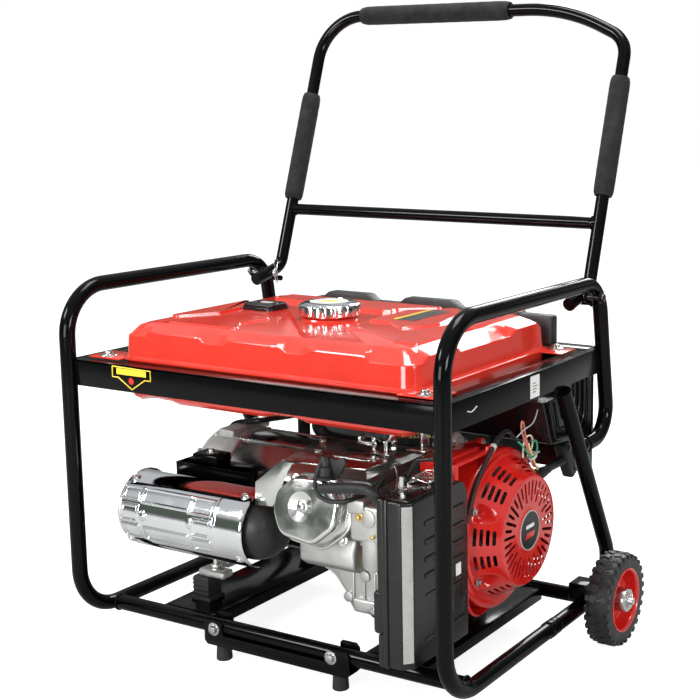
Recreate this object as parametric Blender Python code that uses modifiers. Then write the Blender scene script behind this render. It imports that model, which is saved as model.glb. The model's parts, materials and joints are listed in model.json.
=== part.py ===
"""Open-frame portable generator: tube frame with two rear wheels and a folding handle.

Metres, +Z up, ground at Z = 0. +X points to the recoil starter end, -Y to the
muffler and air filter side, +Y to the wheels, handle and control panel.
"""

import math

import bmesh
import bpy
from mathutils import Matrix, Vector

# Half-way between the heat shield's front and the handle's rear
CENTRE_Y = 0.0914

# Frame
HOOP_X = 0.350
TUBE_R = 0.0125
LEG_R = 0.0128
RAIL_Z = 0.054
TOP_Z = 0.594
FRONT_Y = -0.243
REAR_TOP_Y = 0.2425
HOOP_BEND = 0.078
SLEEVE_Y = 0.0635
KNEE = (0.284, 0.329)
LEG_TOP = (0.1156, 0.434)
LEG_HEEL = (0.324, RAIL_Z)
BASE_FRONT_Y = -0.169
BASE_REAR_Y = 0.226
TANK_RAIL_TOP = 0.482
TANK_RAIL_H = 0.041
GAP = 0.0003

# Wheels
WHEEL_X = 0.4086
WHEEL_Y = 0.192
WHEEL_Z = 0.077
WHEEL_R = 0.0768
AXLE_R = 0.006

# Handle
HANDLE_X = 0.324
HANDLE_R = 0.011
PIVOT_Y = 0.2235
PIVOT_Z = 0.5699
ARM_END = (0.186, 0.5605)
ELBOW = (0.2598, 0.5790)
HANDLE_TOP = (0.4207, 1.048)
CROSSBAR = (0.2958, 0.684)
FOAM_R = 0.0176

# Engine and alternator
CRANK_Y = 0.050
CRANK_Z = 0.221
CYLINDER_TILT = math.radians(15.0)
CYLINDER_X = 0.0915

# Tank
TANK_LOW = (-0.272, -0.208, 0.415)
TANK_HIGH = (0.282, 0.195, 0.544)
FILLER = (-0.010, -0.008)

PARTS = None
CUTTERS = None
PAINTS = {}


def clear_scene():
    for obj in list(bpy.data.objects):
        bpy.data.objects.remove(obj, do_unlink=True)


def make_collections():
    global PARTS, CUTTERS
    PARTS = bpy.data.collections.new("portable_generator")
    CUTTERS = bpy.data.collections.new("cutters")
    bpy.context.scene.collection.children.link(PARTS)
    bpy.context.scene.collection.children.link(CUTTERS)
    CUTTERS.hide_render = True


def paint(name, colour, roughness, metallic=0.0):
    """One Principled material per finish, made once."""
    if name in PAINTS:
        return PAINTS[name]
    material = bpy.data.materials.new(name)
    material.use_nodes = True
    shader = material.node_tree.nodes["Principled BSDF"]
    shader.inputs["Base Color"].default_value = (*colour, 1.0)
    shader.inputs["Roughness"].default_value = roughness
    shader.inputs["Metallic"].default_value = metallic
    PAINTS[name] = material
    return material


def frame_black():
    return paint("frame_black", (0.012, 0.012, 0.013), 0.25)


def gloss_red():
    return paint("gloss_red", (0.62, 0.02, 0.015), 0.22)


def chrome():
    return paint("chrome", (0.75, 0.76, 0.78), 0.08, 1.0)


def zinc():
    return paint("zinc", (0.62, 0.63, 0.62), 0.25, 1.0)


def cast_aluminium():
    return paint("cast_aluminium", (0.52, 0.52, 0.50), 0.45, 1.0)


def black_plastic():
    return paint("black_plastic", (0.015, 0.015, 0.016), 0.35)


def rubber():
    return paint("rubber", (0.02, 0.021, 0.022), 0.7)


def foam():
    return paint("foam", (0.018, 0.018, 0.019), 0.9)


def muffler_black():
    return paint("muffler_black", (0.02, 0.02, 0.02), 0.5, 0.4)


def steel():
    return paint("steel", (0.5, 0.5, 0.5), 0.3, 1.0)


def finish(obj, name, material, collection=None):
    obj.name = name
    obj.data.name = name
    if material is not None:
        obj.data.materials.append(material)
    (collection or PARTS).objects.link(obj)
    return obj


def hide_as_cutter(obj):
    for collection in list(obj.users_collection):
        collection.objects.unlink(obj)
    CUTTERS.objects.link(obj)
    obj.hide_render = True
    obj.display_type = "WIRE"
    return obj


def mesh_object(bm, name, material, location=(0, 0, 0)):
    mesh = bpy.data.meshes.new(name)
    bm.to_mesh(mesh)
    bm.free()
    obj = bpy.data.objects.new(name, mesh)
    obj.location = location
    return finish(obj, name, material)


def box(name, low, high, material, bevel=0.0, segments=2, origin=None):
    """A box between two corners, with its edges rounded by a Bevel."""
    low = Vector(low)
    high = Vector(high)
    centre = (low + high) / 2
    origin = centre if origin is None else Vector(origin)
    bm = bmesh.new()
    bmesh.ops.create_cube(bm, size=1.0)
    bmesh.ops.scale(bm, vec=high - low, verts=bm.verts)
    bmesh.ops.translate(bm, vec=centre - origin, verts=bm.verts)
    obj = mesh_object(bm, name, material, origin)
    if bevel:
        rounding = obj.modifiers.new("Bevel", "BEVEL")
        rounding.width = bevel
        rounding.segments = segments
    return obj


def cylinder(name, start, end, radius, material, sides=20, end_radius=None, origin=None):
    """A round bar between two points, tapered when end_radius is given."""
    start = Vector(start)
    end = Vector(end)
    axis = end - start
    turn = axis.to_track_quat("Z", "Y").to_matrix().to_4x4()
    middle = (start + end) / 2
    origin = middle if origin is None else Vector(origin)
    bm = bmesh.new()
    bmesh.ops.create_cone(
        bm,
        cap_ends=True,
        segments=sides,
        radius1=radius,
        radius2=radius if end_radius is None else end_radius,
        depth=axis.length,
        matrix=Matrix.Translation(middle - origin) @ turn,
    )
    return mesh_object(bm, name, material, origin)


def turned(name, profile, material, centre, steps=32, direction="X", closed=False):
    """A Screw about the axis: profile points are (radius, distance along the axis).

    The profile runs down its outer side, from the far end of the axis to the near one.
    """
    bm = bmesh.new()
    verts = [bm.verts.new((r, 0.0, h)) for r, h in profile]
    for first, second in zip(verts, verts[1:]):
        bm.edges.new((first, second))
    if closed:
        bm.edges.new((verts[-1], verts[0]))
    obj = mesh_object(bm, name, material, centre)
    obj.rotation_euler = {
        "X": (0.0, math.pi / 2, 0.0),
        "-X": (0.0, -math.pi / 2, 0.0),
        "Z": (0.0, 0.0, 0.0),
        "Y": (-math.pi / 2, 0.0, 0.0),
    }[direction]
    screw = obj.modifiers.new("Screw", "SCREW")
    screw.axis = "Z"
    screw.angle = 2 * math.pi
    screw.steps = steps
    screw.render_steps = steps
    screw.use_merge_vertices = True
    screw.merge_threshold = 0.00001
    return obj


def rounded_path(points, radii, steps=5):
    """The corner points of a path with each inner corner replaced by an arc."""
    points = [Vector(p) for p in points]
    path = [points[0]]
    for i in range(1, len(points) - 1):
        before = (points[i - 1] - points[i]).normalized()
        after = (points[i + 1] - points[i]).normalized()
        half = before.angle(after) / 2
        radius = radii[i - 1]
        back = radius / math.tan(half)
        centre = points[i] + (before + after).normalized() * (radius / math.sin(half))
        first = points[i] + before * back
        last = points[i] + after * back
        spoke = first - centre
        sweep = spoke.angle(last - centre)
        axis = spoke.cross(last - centre).normalized()
        for k in range(steps + 1):
            path.append(centre + Matrix.Rotation(sweep * k / steps, 3, axis) @ spoke)
    path.append(points[-1])
    return path


def tube(name, path, radius, material, resolution=4, keep_curve=False, origin=None):
    """A round tube along a path, as a bevelled curve made into a mesh."""
    data = bpy.data.curves.new(name, "CURVE")
    data.dimensions = "3D"
    data.bevel_depth = radius
    data.bevel_resolution = resolution
    data.use_fill_caps = True
    spline = data.splines.new("POLY")
    spline.points.add(len(path) - 1)
    for point, place in zip(spline.points, path):
        point.co = (*place, 1.0)
    curve = bpy.data.objects.new(name, data)
    if keep_curve:
        return finish(curve, name, material)
    bpy.context.scene.collection.objects.link(curve)
    graph = bpy.context.evaluated_depsgraph_get()
    mesh = bpy.data.meshes.new_from_object(curve.evaluated_get(graph))
    bm = bmesh.new()
    bm.from_mesh(mesh)
    bmesh.ops.remove_doubles(bm, verts=bm.verts, dist=0.00001)
    if origin is not None:
        bmesh.ops.translate(bm, vec=-Vector(origin), verts=bm.verts)
    bmesh.ops.recalc_face_normals(bm, faces=bm.faces)
    bm.to_mesh(mesh)
    bm.free()
    mesh.materials.clear()
    bpy.data.objects.remove(curve, do_unlink=True)
    obj = bpy.data.objects.new(name, mesh)
    if origin is not None:
        obj.location = origin
    return finish(obj, name, material)


def extruded(name, outline, depth, material, centre, plane, origin=None):
    """A flat closed outline given thickness. plane names the outline's two axes."""
    bm = bmesh.new()
    axes = {"XZ": (0, 2, 1), "YZ": (1, 2, 0), "XY": (0, 1, 2)}[plane]
    origin = Vector(centre) if origin is None else Vector(origin)
    data = bpy.data.curves.new(name, "CURVE")
    data.dimensions = "2D"
    data.fill_mode = "BOTH"
    data.extrude = depth / 2
    spline = data.splines.new("POLY")
    spline.points.add(len(outline) - 1)
    for point, (u, v) in zip(spline.points, outline):
        point.co = (u, v, 0.0, 1.0)
    spline.use_cyclic_u = True
    curve = bpy.data.objects.new(name, data)
    bpy.context.scene.collection.objects.link(curve)
    graph = bpy.context.evaluated_depsgraph_get()
    mesh = bpy.data.meshes.new_from_object(curve.evaluated_get(graph))
    bm.from_mesh(mesh)
    bmesh.ops.remove_doubles(bm, verts=bm.verts, dist=0.00001)
    columns = [None, None, None]
    columns[axes[0]] = Vector((1.0, 0.0, 0.0))
    columns[axes[1]] = Vector((0.0, 1.0, 0.0))
    columns[axes[2]] = Vector((0.0, 0.0, 1.0))
    swap = Matrix(columns).to_4x4()
    bmesh.ops.transform(bm, matrix=swap, verts=bm.verts)
    bmesh.ops.translate(bm, vec=Vector(centre) - origin, verts=bm.verts)
    bmesh.ops.recalc_face_normals(bm, faces=bm.faces)
    bm.to_mesh(mesh)
    bm.free()
    mesh.materials.clear()
    bpy.data.objects.remove(curve, do_unlink=True)
    obj = bpy.data.objects.new(name, mesh)
    obj.location = origin
    return finish(obj, name, material)


def boolean(obj, other, operation):
    hide_as_cutter(other)
    step = obj.modifiers.new(other.name, "BOOLEAN")
    step.object = other
    step.operation = operation
    step.solver = "EXACT"
    return obj


def cut(obj, other):
    return boolean(obj, other, "DIFFERENCE")


def join(obj, other):
    return boolean(obj, other, "UNION")


def smooth(obj, degrees=35):
    obj.data.shade_smooth()
    obj.data.set_sharp_from_angle(angle=math.radians(degrees))
    return obj


# ---------------------------------------------------------------- frame


def hoop_path(x, end_y=0.180):
    corners = [
        (x, SLEEVE_Y + 0.010, RAIL_Z),
        (x, FRONT_Y, RAIL_Z),
        (x, FRONT_Y, TOP_Z),
        (x, REAR_TOP_Y, TOP_Z),
        (x, KNEE[0], KNEE[1]),
        (x, end_y, KNEE[1]),
    ]
    return rounded_path(corners, [HOOP_BEND, HOOP_BEND, 0.062, 0.050])


def leg_path(x):
    corners = [(x, SLEEVE_Y, RAIL_Z), (x, *LEG_HEEL), (x, *LEG_TOP)]
    return rounded_path(corners, [0.055])


def end_frame(name, side):
    """One bent hoop, its rear leg sleeved and welded on, and the handle's stop peg."""
    x = side * HOOP_X
    hoop = tube(name, hoop_path(x), TUBE_R, frame_black())
    join(hoop, tube(name + "_leg", leg_path(x), LEG_R, frame_black()))
    peg_start = (side * 0.3095, 0.243, 0.5578)
    peg_end = (side * 0.347, 0.243, 0.5578)
    join(hoop, cylinder(name + "_peg", peg_start, peg_end, 0.005, frame_black(), 12))
    bore_start = (side * 0.325, PIVOT_Y, PIVOT_Z)
    bore_end = (side * 0.375, PIVOT_Y, PIVOT_Z)
    cut(hoop, cylinder(name + "_bore", bore_start, bore_end, 0.0045, None, 16))
    return smooth(hoop)


def base_rail(name, y):
    """A straight bottom tube, its ends coped to the two hoops."""
    rail = tube(name, [(-0.349, y, RAIL_Z), (0.349, y, RAIL_Z)], TUBE_R, frame_black())
    for side in (-1, 1):
        hoop = tube(name + "_cope", hoop_path(side * HOOP_X), TUBE_R + 0.0004, None)
        cut(rail, hoop)
        leg = tube(name + "_cope", leg_path(side * HOOP_X), LEG_R + 0.0004, None)
        cut(rail, leg)
    return smooth(rail)


def angle_outline(width, height, thick, turn):
    """An L with its flange at the top, pointing to +u, or to -u when turn is -1."""
    corners = [(0, 0), (thick, 0), (thick, height - thick)]
    corners += [(width, height - thick), (width, height), (0, height)]
    return [(turn * u, v) for u, v in corners]


def tank_frame():
    """Four angle irons welded into the ring that carries the tank."""
    low = TANK_RAIL_TOP - TANK_RAIL_H
    front = extruded(
        "tank_frame",
        angle_outline(0.035, TANK_RAIL_H, 0.003, 1),
        2 * 0.3371,
        frame_black(),
        (0, FRONT_Y - 0.0015, low),
        "YZ",
    )
    rear = extruded(
        "tank_frame_rear",
        angle_outline(0.035, TANK_RAIL_H, 0.003, -1),
        2 * 0.3371,
        frame_black(),
        (0, 0.2635, low),
        "YZ",
    )
    join(front, rear)
    for side in (-1, 1):
        rail = extruded(
            f"tank_frame_side_{side}",
            angle_outline(0.035, TANK_RAIL_H, 0.003, -side),
            0.477,
            frame_black(),
            (side * (HOOP_X + 0.0015), 0.0085, low - 0.0005),
            "XZ",
        )
        join(front, rail)
    return front


def engine_beam(name, low_x, high_x):
    """A folded channel across the bottom rails, open downwards."""
    top = 0.060
    down = 0.040
    thick = 0.004
    outline = [(low_x, down), (low_x, top), (high_x, top), (high_x, down)]
    outline += [(high_x - thick, down), (high_x - thick, top - thick)]
    outline += [(low_x + thick, top - thick), (low_x + thick, down)]
    middle = (BASE_FRONT_Y + BASE_REAR_Y) / 2
    length = BASE_REAR_Y - BASE_FRONT_Y - 2 * TUBE_R - 2 * GAP
    return extruded(name, outline, length, frame_black(), (0, middle, 0), "XZ")


def foot_bracket():
    """A channel under the front rail, with ears bolted to it at both ends."""
    left = -0.141
    right = 0.143
    ear = 0.036

    def plate(name, y, top):
        low = 0.026
        step = 0.045
        outline = [(left, low), (right, low), (right, top), (right - ear, top)]
        outline += [(right - ear, step), (left + ear, step), (left + ear, top), (left, top)]
        return extruded(name, outline, 0.0025, frame_black(), (0, y, 0), "XZ")

    front = plate("foot_bracket", BASE_FRONT_Y - TUBE_R - GAP - 0.00125, 0.067)
    join(front, plate("foot_bracket_rear", BASE_FRONT_Y + TUBE_R + GAP + 0.00125, 0.072))
    floor_low = (left + 0.0004, BASE_FRONT_Y - TUBE_R - 0.0022, 0.0255)
    floor_high = (right - 0.0004, BASE_FRONT_Y + TUBE_R + 0.0022, 0.0283)
    join(front, box("foot_bracket_floor", floor_low, floor_high, frame_black()))
    return front


def foot(name, x):
    """A moulded rubber foot under the bracket."""
    return smooth(
        cylinder(
            name,
            (x, BASE_FRONT_Y, 0.0),
            (x, BASE_FRONT_Y, 0.0252),
            0.0130,
            rubber(),
            20,
            end_radius=0.0118,
        )
    )


def axle(name, side):
    """A saddle over the bottom tube, with the wheel's stub axle and end washer."""
    outline = [(0.3326, 0.047), (0.3326, 0.096), (0.3674, 0.096), (0.3674, 0.047)]
    outline += [(0.3633, 0.047), (0.3633, 0.092), (0.3367, 0.092), (0.3367, 0.047)]
    outline = [(side * u, v) for u, v in outline]
    saddle = extruded(name, outline, 0.040, frame_black(), (0, WHEEL_Y, 0), "XZ")

    def bar(tag, start, end, radius):
        first = (side * start, WHEEL_Y, WHEEL_Z)
        last = (side * end, WHEEL_Y, WHEEL_Z)
        join(saddle, cylinder(name + tag, first, last, radius, steel(), 16))

    bar("_shaft", 0.329, 0.4430, AXLE_R)
    bar("_collar", 0.3660, 0.3846, 0.011)
    bar("_washer", 0.4337, 0.4359, 0.011)
    return saddle


def rim(name, side):
    """The pressed dish, its barrel and its hub, turned about the axle."""
    profile = [
        (AXLE_R + 0.0005, 0.0246),
        (0.0190, 0.0246),
        (0.0205, 0.0200),
        (0.0215, 0.0040),
        (0.0260, -0.0020),
        (0.0440, -0.0060),
        (0.0465, 0.0020),
        (0.0475, 0.0207),
        (0.0522, 0.0207),
        (0.0522, 0.0188),
        (0.0502, 0.0170),
        (0.0502, -0.0170),
        (0.0522, -0.0188),
        (0.0522, -0.0207),
        (0.0475, -0.0207),
        (0.0450, -0.0100),
        (0.0200, -0.0090),
        (0.0170, -0.0236),
        (AXLE_R + 0.0005, -0.0236),
    ]
    centre = (side * WHEEL_X, WHEEL_Y, WHEEL_Z)
    return turned(name, profile, gloss_red(), centre, 24, "X" if side > 0 else "-X", True)


def tyre(name, side):
    """The solid rubber tyre, seated between the rim's lips."""
    half = [
        (WHEEL_R, 0.0000),
        (WHEEL_R, 0.0130),
        (0.0745, 0.0170),
        (0.0690, 0.0205),
        (0.0610, 0.0214),
        (0.0526, 0.0211),
        (0.0526, 0.0184),
        (0.0507, 0.0166),
    ]
    near = [(r, -h) for r, h in half[1:]]
    profile = [half[0]] + near + half[:0:-1]
    centre = (side * WHEEL_X, WHEEL_Y, WHEEL_Z)
    return turned(name, profile, rubber(), centre, 24, "X" if side > 0 else "-X", True)


# ---------------------------------------------------------------- handle


def handle_tube():
    """The bent handle: arms on the pivots, legs leaning back, top bar and crossbar."""
    lean_y, lean_z = ELBOW[0] - HANDLE_TOP[0], ELBOW[1] - HANDLE_TOP[1]
    drop = 0.060 / math.hypot(lean_y, lean_z)
    shoulder = (HANDLE_X, HANDLE_TOP[0] + lean_y * drop, HANDLE_TOP[1] + lean_z * drop)
    corners = [(HANDLE_X, *ARM_END), (HANDLE_X, *ELBOW), shoulder, (0.200, *HANDLE_TOP)]
    corners += [(-HANDLE_X, *HANDLE_TOP), (-HANDLE_X, *ELBOW), (-HANDLE_X, *ARM_END)]
    path = rounded_path(corners, [0.030, 0.050, 0.350, 0.085, 0.030])
    origin = (0, PIVOT_Y, PIVOT_Z)
    handle = tube("handle_tube", path, HANDLE_R, frame_black(), origin=origin)
    bar = [(-HANDLE_X, *CROSSBAR), (HANDLE_X, *CROSSBAR)]
    join(handle, tube("handle_crossbar", bar, 0.0104, frame_black()))
    for side in (-1, 1):
        start = (side * 0.300, PIVOT_Y, PIVOT_Z)
        end = (side * 0.345, PIVOT_Y, PIVOT_Z)
        cut(handle, cylinder(f"handle_bore_{side}", start, end, 0.0045, None, 16))
    return smooth(handle)


def foam_grip(name, start, end):
    """A foam sleeve on the handle tube."""
    start = Vector(start)
    end = Vector(end)
    length = (end - start).length
    inner = HANDLE_R + 0.0004
    profile = [
        (inner, length),
        (FOAM_R - 0.0015, length),
        (FOAM_R, length - 0.0015),
        (FOAM_R, 0.0015),
        (FOAM_R - 0.0015, 0.0),
        (inner, 0.0),
    ]
    grip = turned(name, profile, foam(), start, 16, "Z", True)
    grip.rotation_euler = (end - start).to_track_quat("Z", "Y").to_euler()
    return grip


def leg_point(x, z):
    """A point on the handle's leaning leg at height z."""
    share = (z - ELBOW[1]) / (HANDLE_TOP[1] - ELBOW[1])
    return (x, ELBOW[0] + share * (HANDLE_TOP[0] - ELBOW[0]), z)


def handle_pivot(name, side):
    """The bolt that a handle arm turns on, with its head outside and its nut inside."""
    def at(x):
        return (side * x, PIVOT_Y, PIVOT_Z)

    bolt = cylinder(name, at(0.3050), at(0.3690), 0.0040, steel(), 16)
    join(bolt, cylinder(name + "_head", at(0.3646), at(0.3700), 0.0070, steel(), 6))
    join(bolt, cylinder(name + "_nut", at(0.3068), at(0.3122), 0.0070, steel(), 6))
    return bolt


# ---------------------------------------------------------------- tank


def fuel_tank():
    """The pressed tank with its corner tabs, filler neck and open filler hole."""
    tank = box("fuel_tank", TANK_LOW, TANK_HIGH, gloss_red(), 0.022, 4)
    for side in (-1, 1):
        for y in (-0.190, 0.176):
            low = (side * 0.250 if side > 0 else -0.329, y - 0.030, TANK_RAIL_TOP + GAP)
            high = (0.329 if side > 0 else -0.250, y + 0.030, TANK_RAIL_TOP + GAP + 0.003)
            join(tank, box(f"tank_tab_{side}_{y}", low, high, gloss_red()))
    neck_low = (*FILLER, 0.530)
    join(tank, cylinder("tank_neck", neck_low, (*FILLER, 0.5535), 0.0380, gloss_red(), 32))
    hole_low = (*FILLER, 0.500)
    cut(tank, cylinder("tank_filler_hole", hole_low, (*FILLER, 0.560), 0.0300, None, 32))
    return smooth(tank)


def cap_gasket():
    profile = [(0.0305, 0.0025), (0.0375, 0.0025), (0.0375, 0.0), (0.0305, 0.0)]
    return turned("cap_gasket", profile, rubber(), (*FILLER, 0.5538), 32, "Z", True)


def fuel_cap():
    """The screw cap, hollow underneath so that it goes over the neck."""
    profile = [
        (0.0, 0.0220),
        (0.0440, 0.0220),
        (0.0500, 0.0180),
        (0.0500, 0.0),
        (0.0394, 0.0),
        (0.0394, 0.0091),
        (0.0, 0.0091),
    ]
    return turned("fuel_cap", profile, chrome(), (*FILLER, 0.5475), 32, "Z")


def fuel_gauge():
    low = (-0.198, -0.007, 0.5443)
    return box("fuel_gauge", low, (-0.132, 0.047, 0.5513), black_plastic(), 0.003, 2)


def tank_trim():
    """The black formed strip behind the tank, with three raised humps."""
    low = (-0.200, 0.1985, 0.4860)
    high = (0.2850, 0.2240, 0.5380)
    strip = box("tank_trim", low, high, black_plastic(), 0.006, 2)
    for x, half in ((-0.125, 0.060), (0.045, 0.065), (0.185, 0.045)):
        hump_low = (x - half, 0.2000, 0.5000)
        hump_high = (x + half, 0.2225, 0.5480)
        join(strip, box(f"tank_trim_hump_{x}", hump_low, hump_high, black_plastic(), 0.006, 2))
    return strip


def fuel_valve():
    """The tap under the tank, with its outlet pointing down."""
    body = cylinder("fuel_valve", (0.180, -0.135, 0.398), (0.180, -0.085, 0.398), 0.0125, zinc())
    join(body, cylinder("valve_inlet", (0.180, -0.110, 0.398), (0.180, -0.110, 0.4147), 0.007, zinc()))
    join(body, cylinder("valve_outlet", (0.180, -0.110, 0.378), (0.180, -0.110, 0.398), 0.004, zinc(), 12))
    return body


def fuel_valve_lever():
    """The tap's lever, turning on the tap's front face."""
    hub = (0.180, -0.1353, 0.398)
    lever = cylinder("fuel_valve_lever", hub, (0.180, -0.1430, 0.398), 0.0095, steel(), 20, origin=hub)
    arm = box("valve_lever_arm", (0.150, -0.1428, 0.3935), (0.183, -0.1375, 0.4025), steel())
    return join(lever, arm)


# ---------------------------------------------------------------- engine


def crankcase():
    """The cast crankcase with its base pads and the crankshaft's bore."""
    case = box("crankcase", (0.008, -0.085, 0.100), (0.205, 0.150, 0.300), cast_aluminium(), 0.014, 2)
    for y in (-0.052, 0.118):
        pad_low = (0.160, y - 0.022, 0.0604)
        pad_high = (0.198, y + 0.022, 0.130)
        join(case, box(f"crankcase_pad_{y}", pad_low, pad_high, cast_aluminium()))
    corner = [(-0.010, 0.080), (-0.010, 0.172), (0.026, 0.166), (0.031, 0.150), (0.048, 0.141)]
    corner += [(0.069, 0.117), (0.074, 0.104), (0.082, 0.080)]
    cut(case, extruded("crankcase_corner", corner, 0.130, None, (0, -0.040, 0), "XZ"))
    start = (-0.02, CRANK_Y, CRANK_Z)
    cut(case, cylinder("crankcase_bore", start, (0.230, CRANK_Y, CRANK_Z), 0.0158, None, 24))
    return case


def along_cylinder(distance, height=0.0):
    """World (y, z) at a distance from the crankshaft along the tilted cylinder."""
    y = CRANK_Y - distance * math.cos(CYLINDER_TILT) + height * math.sin(CYLINDER_TILT)
    z = CRANK_Z + distance * math.sin(CYLINDER_TILT) + height * math.cos(CYLINDER_TILT)
    return y, z


def cylinder_head():
    """Barrel and head as one finned block, tilted up towards the front."""
    y, z = along_cylinder(0.199)
    head = box("cylinder_head", (-0.066, -0.046, -0.052), (0.066, 0.046, 0.052), cast_aluminium(), 0.006, 2)
    for k in range(4):
        place = -0.036 + 0.020 * k
        groove_low = (-0.080, place - 0.004, -0.070)
        groove_high = (0.080, place + 0.004, -0.036)
        cut(head, tilt(box(f"fin_low_{k}", groove_low, groove_high, None), CYLINDER_X, y, z))
        groove_low = (-0.080, place - 0.004, 0.036)
        groove_high = (0.080, place + 0.004, 0.070)
        cut(head, tilt(box(f"fin_high_{k}", groove_low, groove_high, None), CYLINDER_X, y, z))
    return tilt(head, CYLINDER_X, y, z)


def tilt(obj, x, y, z):
    """Turns a piece made about the origin to the cylinder's slope and moves it there."""
    turn = Matrix.Rotation(-CYLINDER_TILT, 4, "X")
    obj.matrix_world = Matrix.Translation((x, y, z)) @ turn @ Matrix.Translation(obj.location)
    return obj


def valve_cover():
    """The pressed cover on the head, a rounded polygon."""
    corners = [(-0.062, -0.012), (-0.040, -0.050), (0.030, -0.056), (0.062, -0.018)]
    corners += [(0.060, 0.028), (0.022, 0.054), (-0.030, 0.050), (-0.058, 0.022)]
    y, z = along_cylinder(0.2600)
    cover = extruded("valve_cover", corners, 0.029, zinc(), (0, 0, 0), "XZ")
    rounding = cover.modifiers.new("Bevel", "BEVEL")
    rounding.width = 0.006
    rounding.segments = 2
    rounding.limit_method = "ANGLE"
    return tilt(cover, CYLINDER_X, y, z)


def head_shroud():
    """The bright cooling plate over the cylinder, with a lip beside the valve cover."""
    outline = [(-0.190, 0.3500), (-0.190, 0.3535), (-0.045, 0.3535), (-0.045, 0.3500)]
    top = extruded("head_shroud", outline, 0.180, zinc(), (0.090, 0, 0), "YZ")
    join(top, box("shroud_lip", (-0.0196, -0.1898, 0.3025), (0.0240, -0.1860, 0.3515), zinc()))
    return top


def muffler():
    """The black muffler can with domed ends and its pipe to the cylinder head."""
    profile = [
        (0.0, 0.1475),
        (0.018, 0.1455),
        (0.034, 0.1380),
        (0.045, 0.1250),
        (0.052, 0.1050),
        (0.052, -0.1380),
        (0.047, -0.1475),
        (0.0, -0.1495),
    ]
    can = turned("muffler", profile, muffler_black(), (-0.1255, -0.175, 0.237), 24, "X")
    corners = [(-0.040, -0.150, 0.240), (-0.040, -0.112, 0.262), (0.0245, -0.112, 0.262)]
    join(can, tube("muffler_pipe", rounded_path(corners, [0.020], 4), 0.0140, muffler_black()))
    return can


def muffler_shield():
    """The chrome heat shield, a part cylinder standing off the muffler's front."""
    outer = 0.0645
    inner = 0.0630
    reach = math.radians(82)
    steps = 14
    outline = []
    for k in range(steps + 1):
        angle = -reach + 2 * reach * k / steps
        outline.append((-outer * math.cos(angle), outer * math.sin(angle)))
    for k in range(steps, -1, -1):
        angle = -reach + 2 * reach * k / steps
        outline.append((-inner * math.cos(angle), inner * math.sin(angle)))
    return extruded("muffler_shield", outline, 0.2475, chrome(), (-0.13625, -0.175, 0.237), "YZ")


def carburettor():
    body = box("carburettor", (0.1590, -0.205, 0.236), (0.2355, -0.155, 0.292), cast_aluminium(), 0.006, 2)
    join(body, cylinder("carburettor_bowl", (0.196, -0.180, 0.205), (0.196, -0.180, 0.245), 0.022, zinc()))
    return body


def choke_lever():
    """A bent rod on a small hub, above the filter's top."""
    hub_x = 0.2560
    hub_z = 0.3570
    origin = (hub_x, -0.195, hub_z)
    corners = [(hub_x, -0.195, hub_z), (0.283, -0.198, 0.392), (0.307, -0.198, 0.396)]
    rod = tube("choke_lever", rounded_path(corners, [0.008], 3), 0.0030, black_plastic(), 2, origin=origin)
    hub = cylinder("choke_hub", (hub_x, -0.203, hub_z), (hub_x, -0.187, hub_z), 0.0065, black_plastic(), 16)
    return join(rod, hub)


def filter_base():
    """The back of the air filter box, against the carburettor."""
    base = box("filter_base", (0.2360, -0.240, 0.088), (0.2485, -0.088, 0.337), black_plastic(), 0.004, 2)
    low = (0.2120, -0.218, 0.125)
    join(base, box("filter_duct", low, (0.2400, -0.130, 0.190), black_plastic(), 0.006, 2))
    return base


def filter_element():
    foam = paint("filter_foam", (0.05, 0.045, 0.03), 0.95)
    return box("filter_element", (0.2489, -0.226, 0.110), (0.2865, -0.100, 0.318), foam)


def filter_cover():
    """The tall cover, hollow and open towards the base."""
    left, right = 0.2489, 0.2905
    front, back = -0.240, -0.088
    chamfer = 0.0135
    outline = [(left, front), (right - chamfer, front), (right, front + chamfer)]
    outline += [(right, back), (left, back)]
    cover = extruded("filter_cover", outline, 0.249, black_plastic(), (0, 0, 0.2125), "XY")
    wall = 0.0025
    outline = [(left - 0.01, front + wall), (right - chamfer - 0.0010, front + wall)]
    outline += [(right - wall, front + chamfer + 0.0010)]
    outline += [(right - wall, back - wall), (left - 0.01, back - wall)]
    hollow = extruded("filter_cover_hollow", outline, 0.244, None, (0, 0, 0.2125), "XY")
    return cut(cover, hollow)


def filter_latch():
    """The flat spring latch across the joint of the filter's box."""
    origin = (0.2700, -0.140, 0.3430)
    low = (0.2380, -0.155, 0.3417)
    latch = box("filter_latch", low, (0.2740, -0.125, 0.3442), steel(), origin=origin)
    start = (0.2700, -0.155, 0.3430)
    barrel = cylinder("latch_barrel", start, (0.2700, -0.125, 0.3430), 0.0035, steel(), 12)
    return join(latch, barrel)


def breather_hose():
    """The black hose from the head to the filter box."""
    corners = [(0.120, -0.225, 0.333), (0.205, -0.222, 0.337)]
    corners += [(0.2280, -0.215, 0.318), (0.2280, -0.205, 0.300)]
    path = rounded_path(corners, [0.018, 0.012], 4)
    return tube("breather_hose", path, 0.0080, rubber(), 3, keep_curve=True)


def spark_plug_cap():
    start = (0.104, -0.2085, 0.3640)
    end = (0.104, -0.2045, 0.3960)
    return smooth(cylinder("spark_plug_cap", start, end, 0.0115, rubber(), 20, end_radius=0.0085))


def oil_drain_tube():
    """The drain stub and its plug, beside the filter."""
    start = (0.1760, -0.1200, 0.202)
    yellow = paint("drain_yellow", (0.6, 0.45, 0.1), 0.4)
    return cylinder("oil_drain_tube", start, (0.1770, -0.1315, 0.156), 0.0065, yellow, 16)


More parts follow.
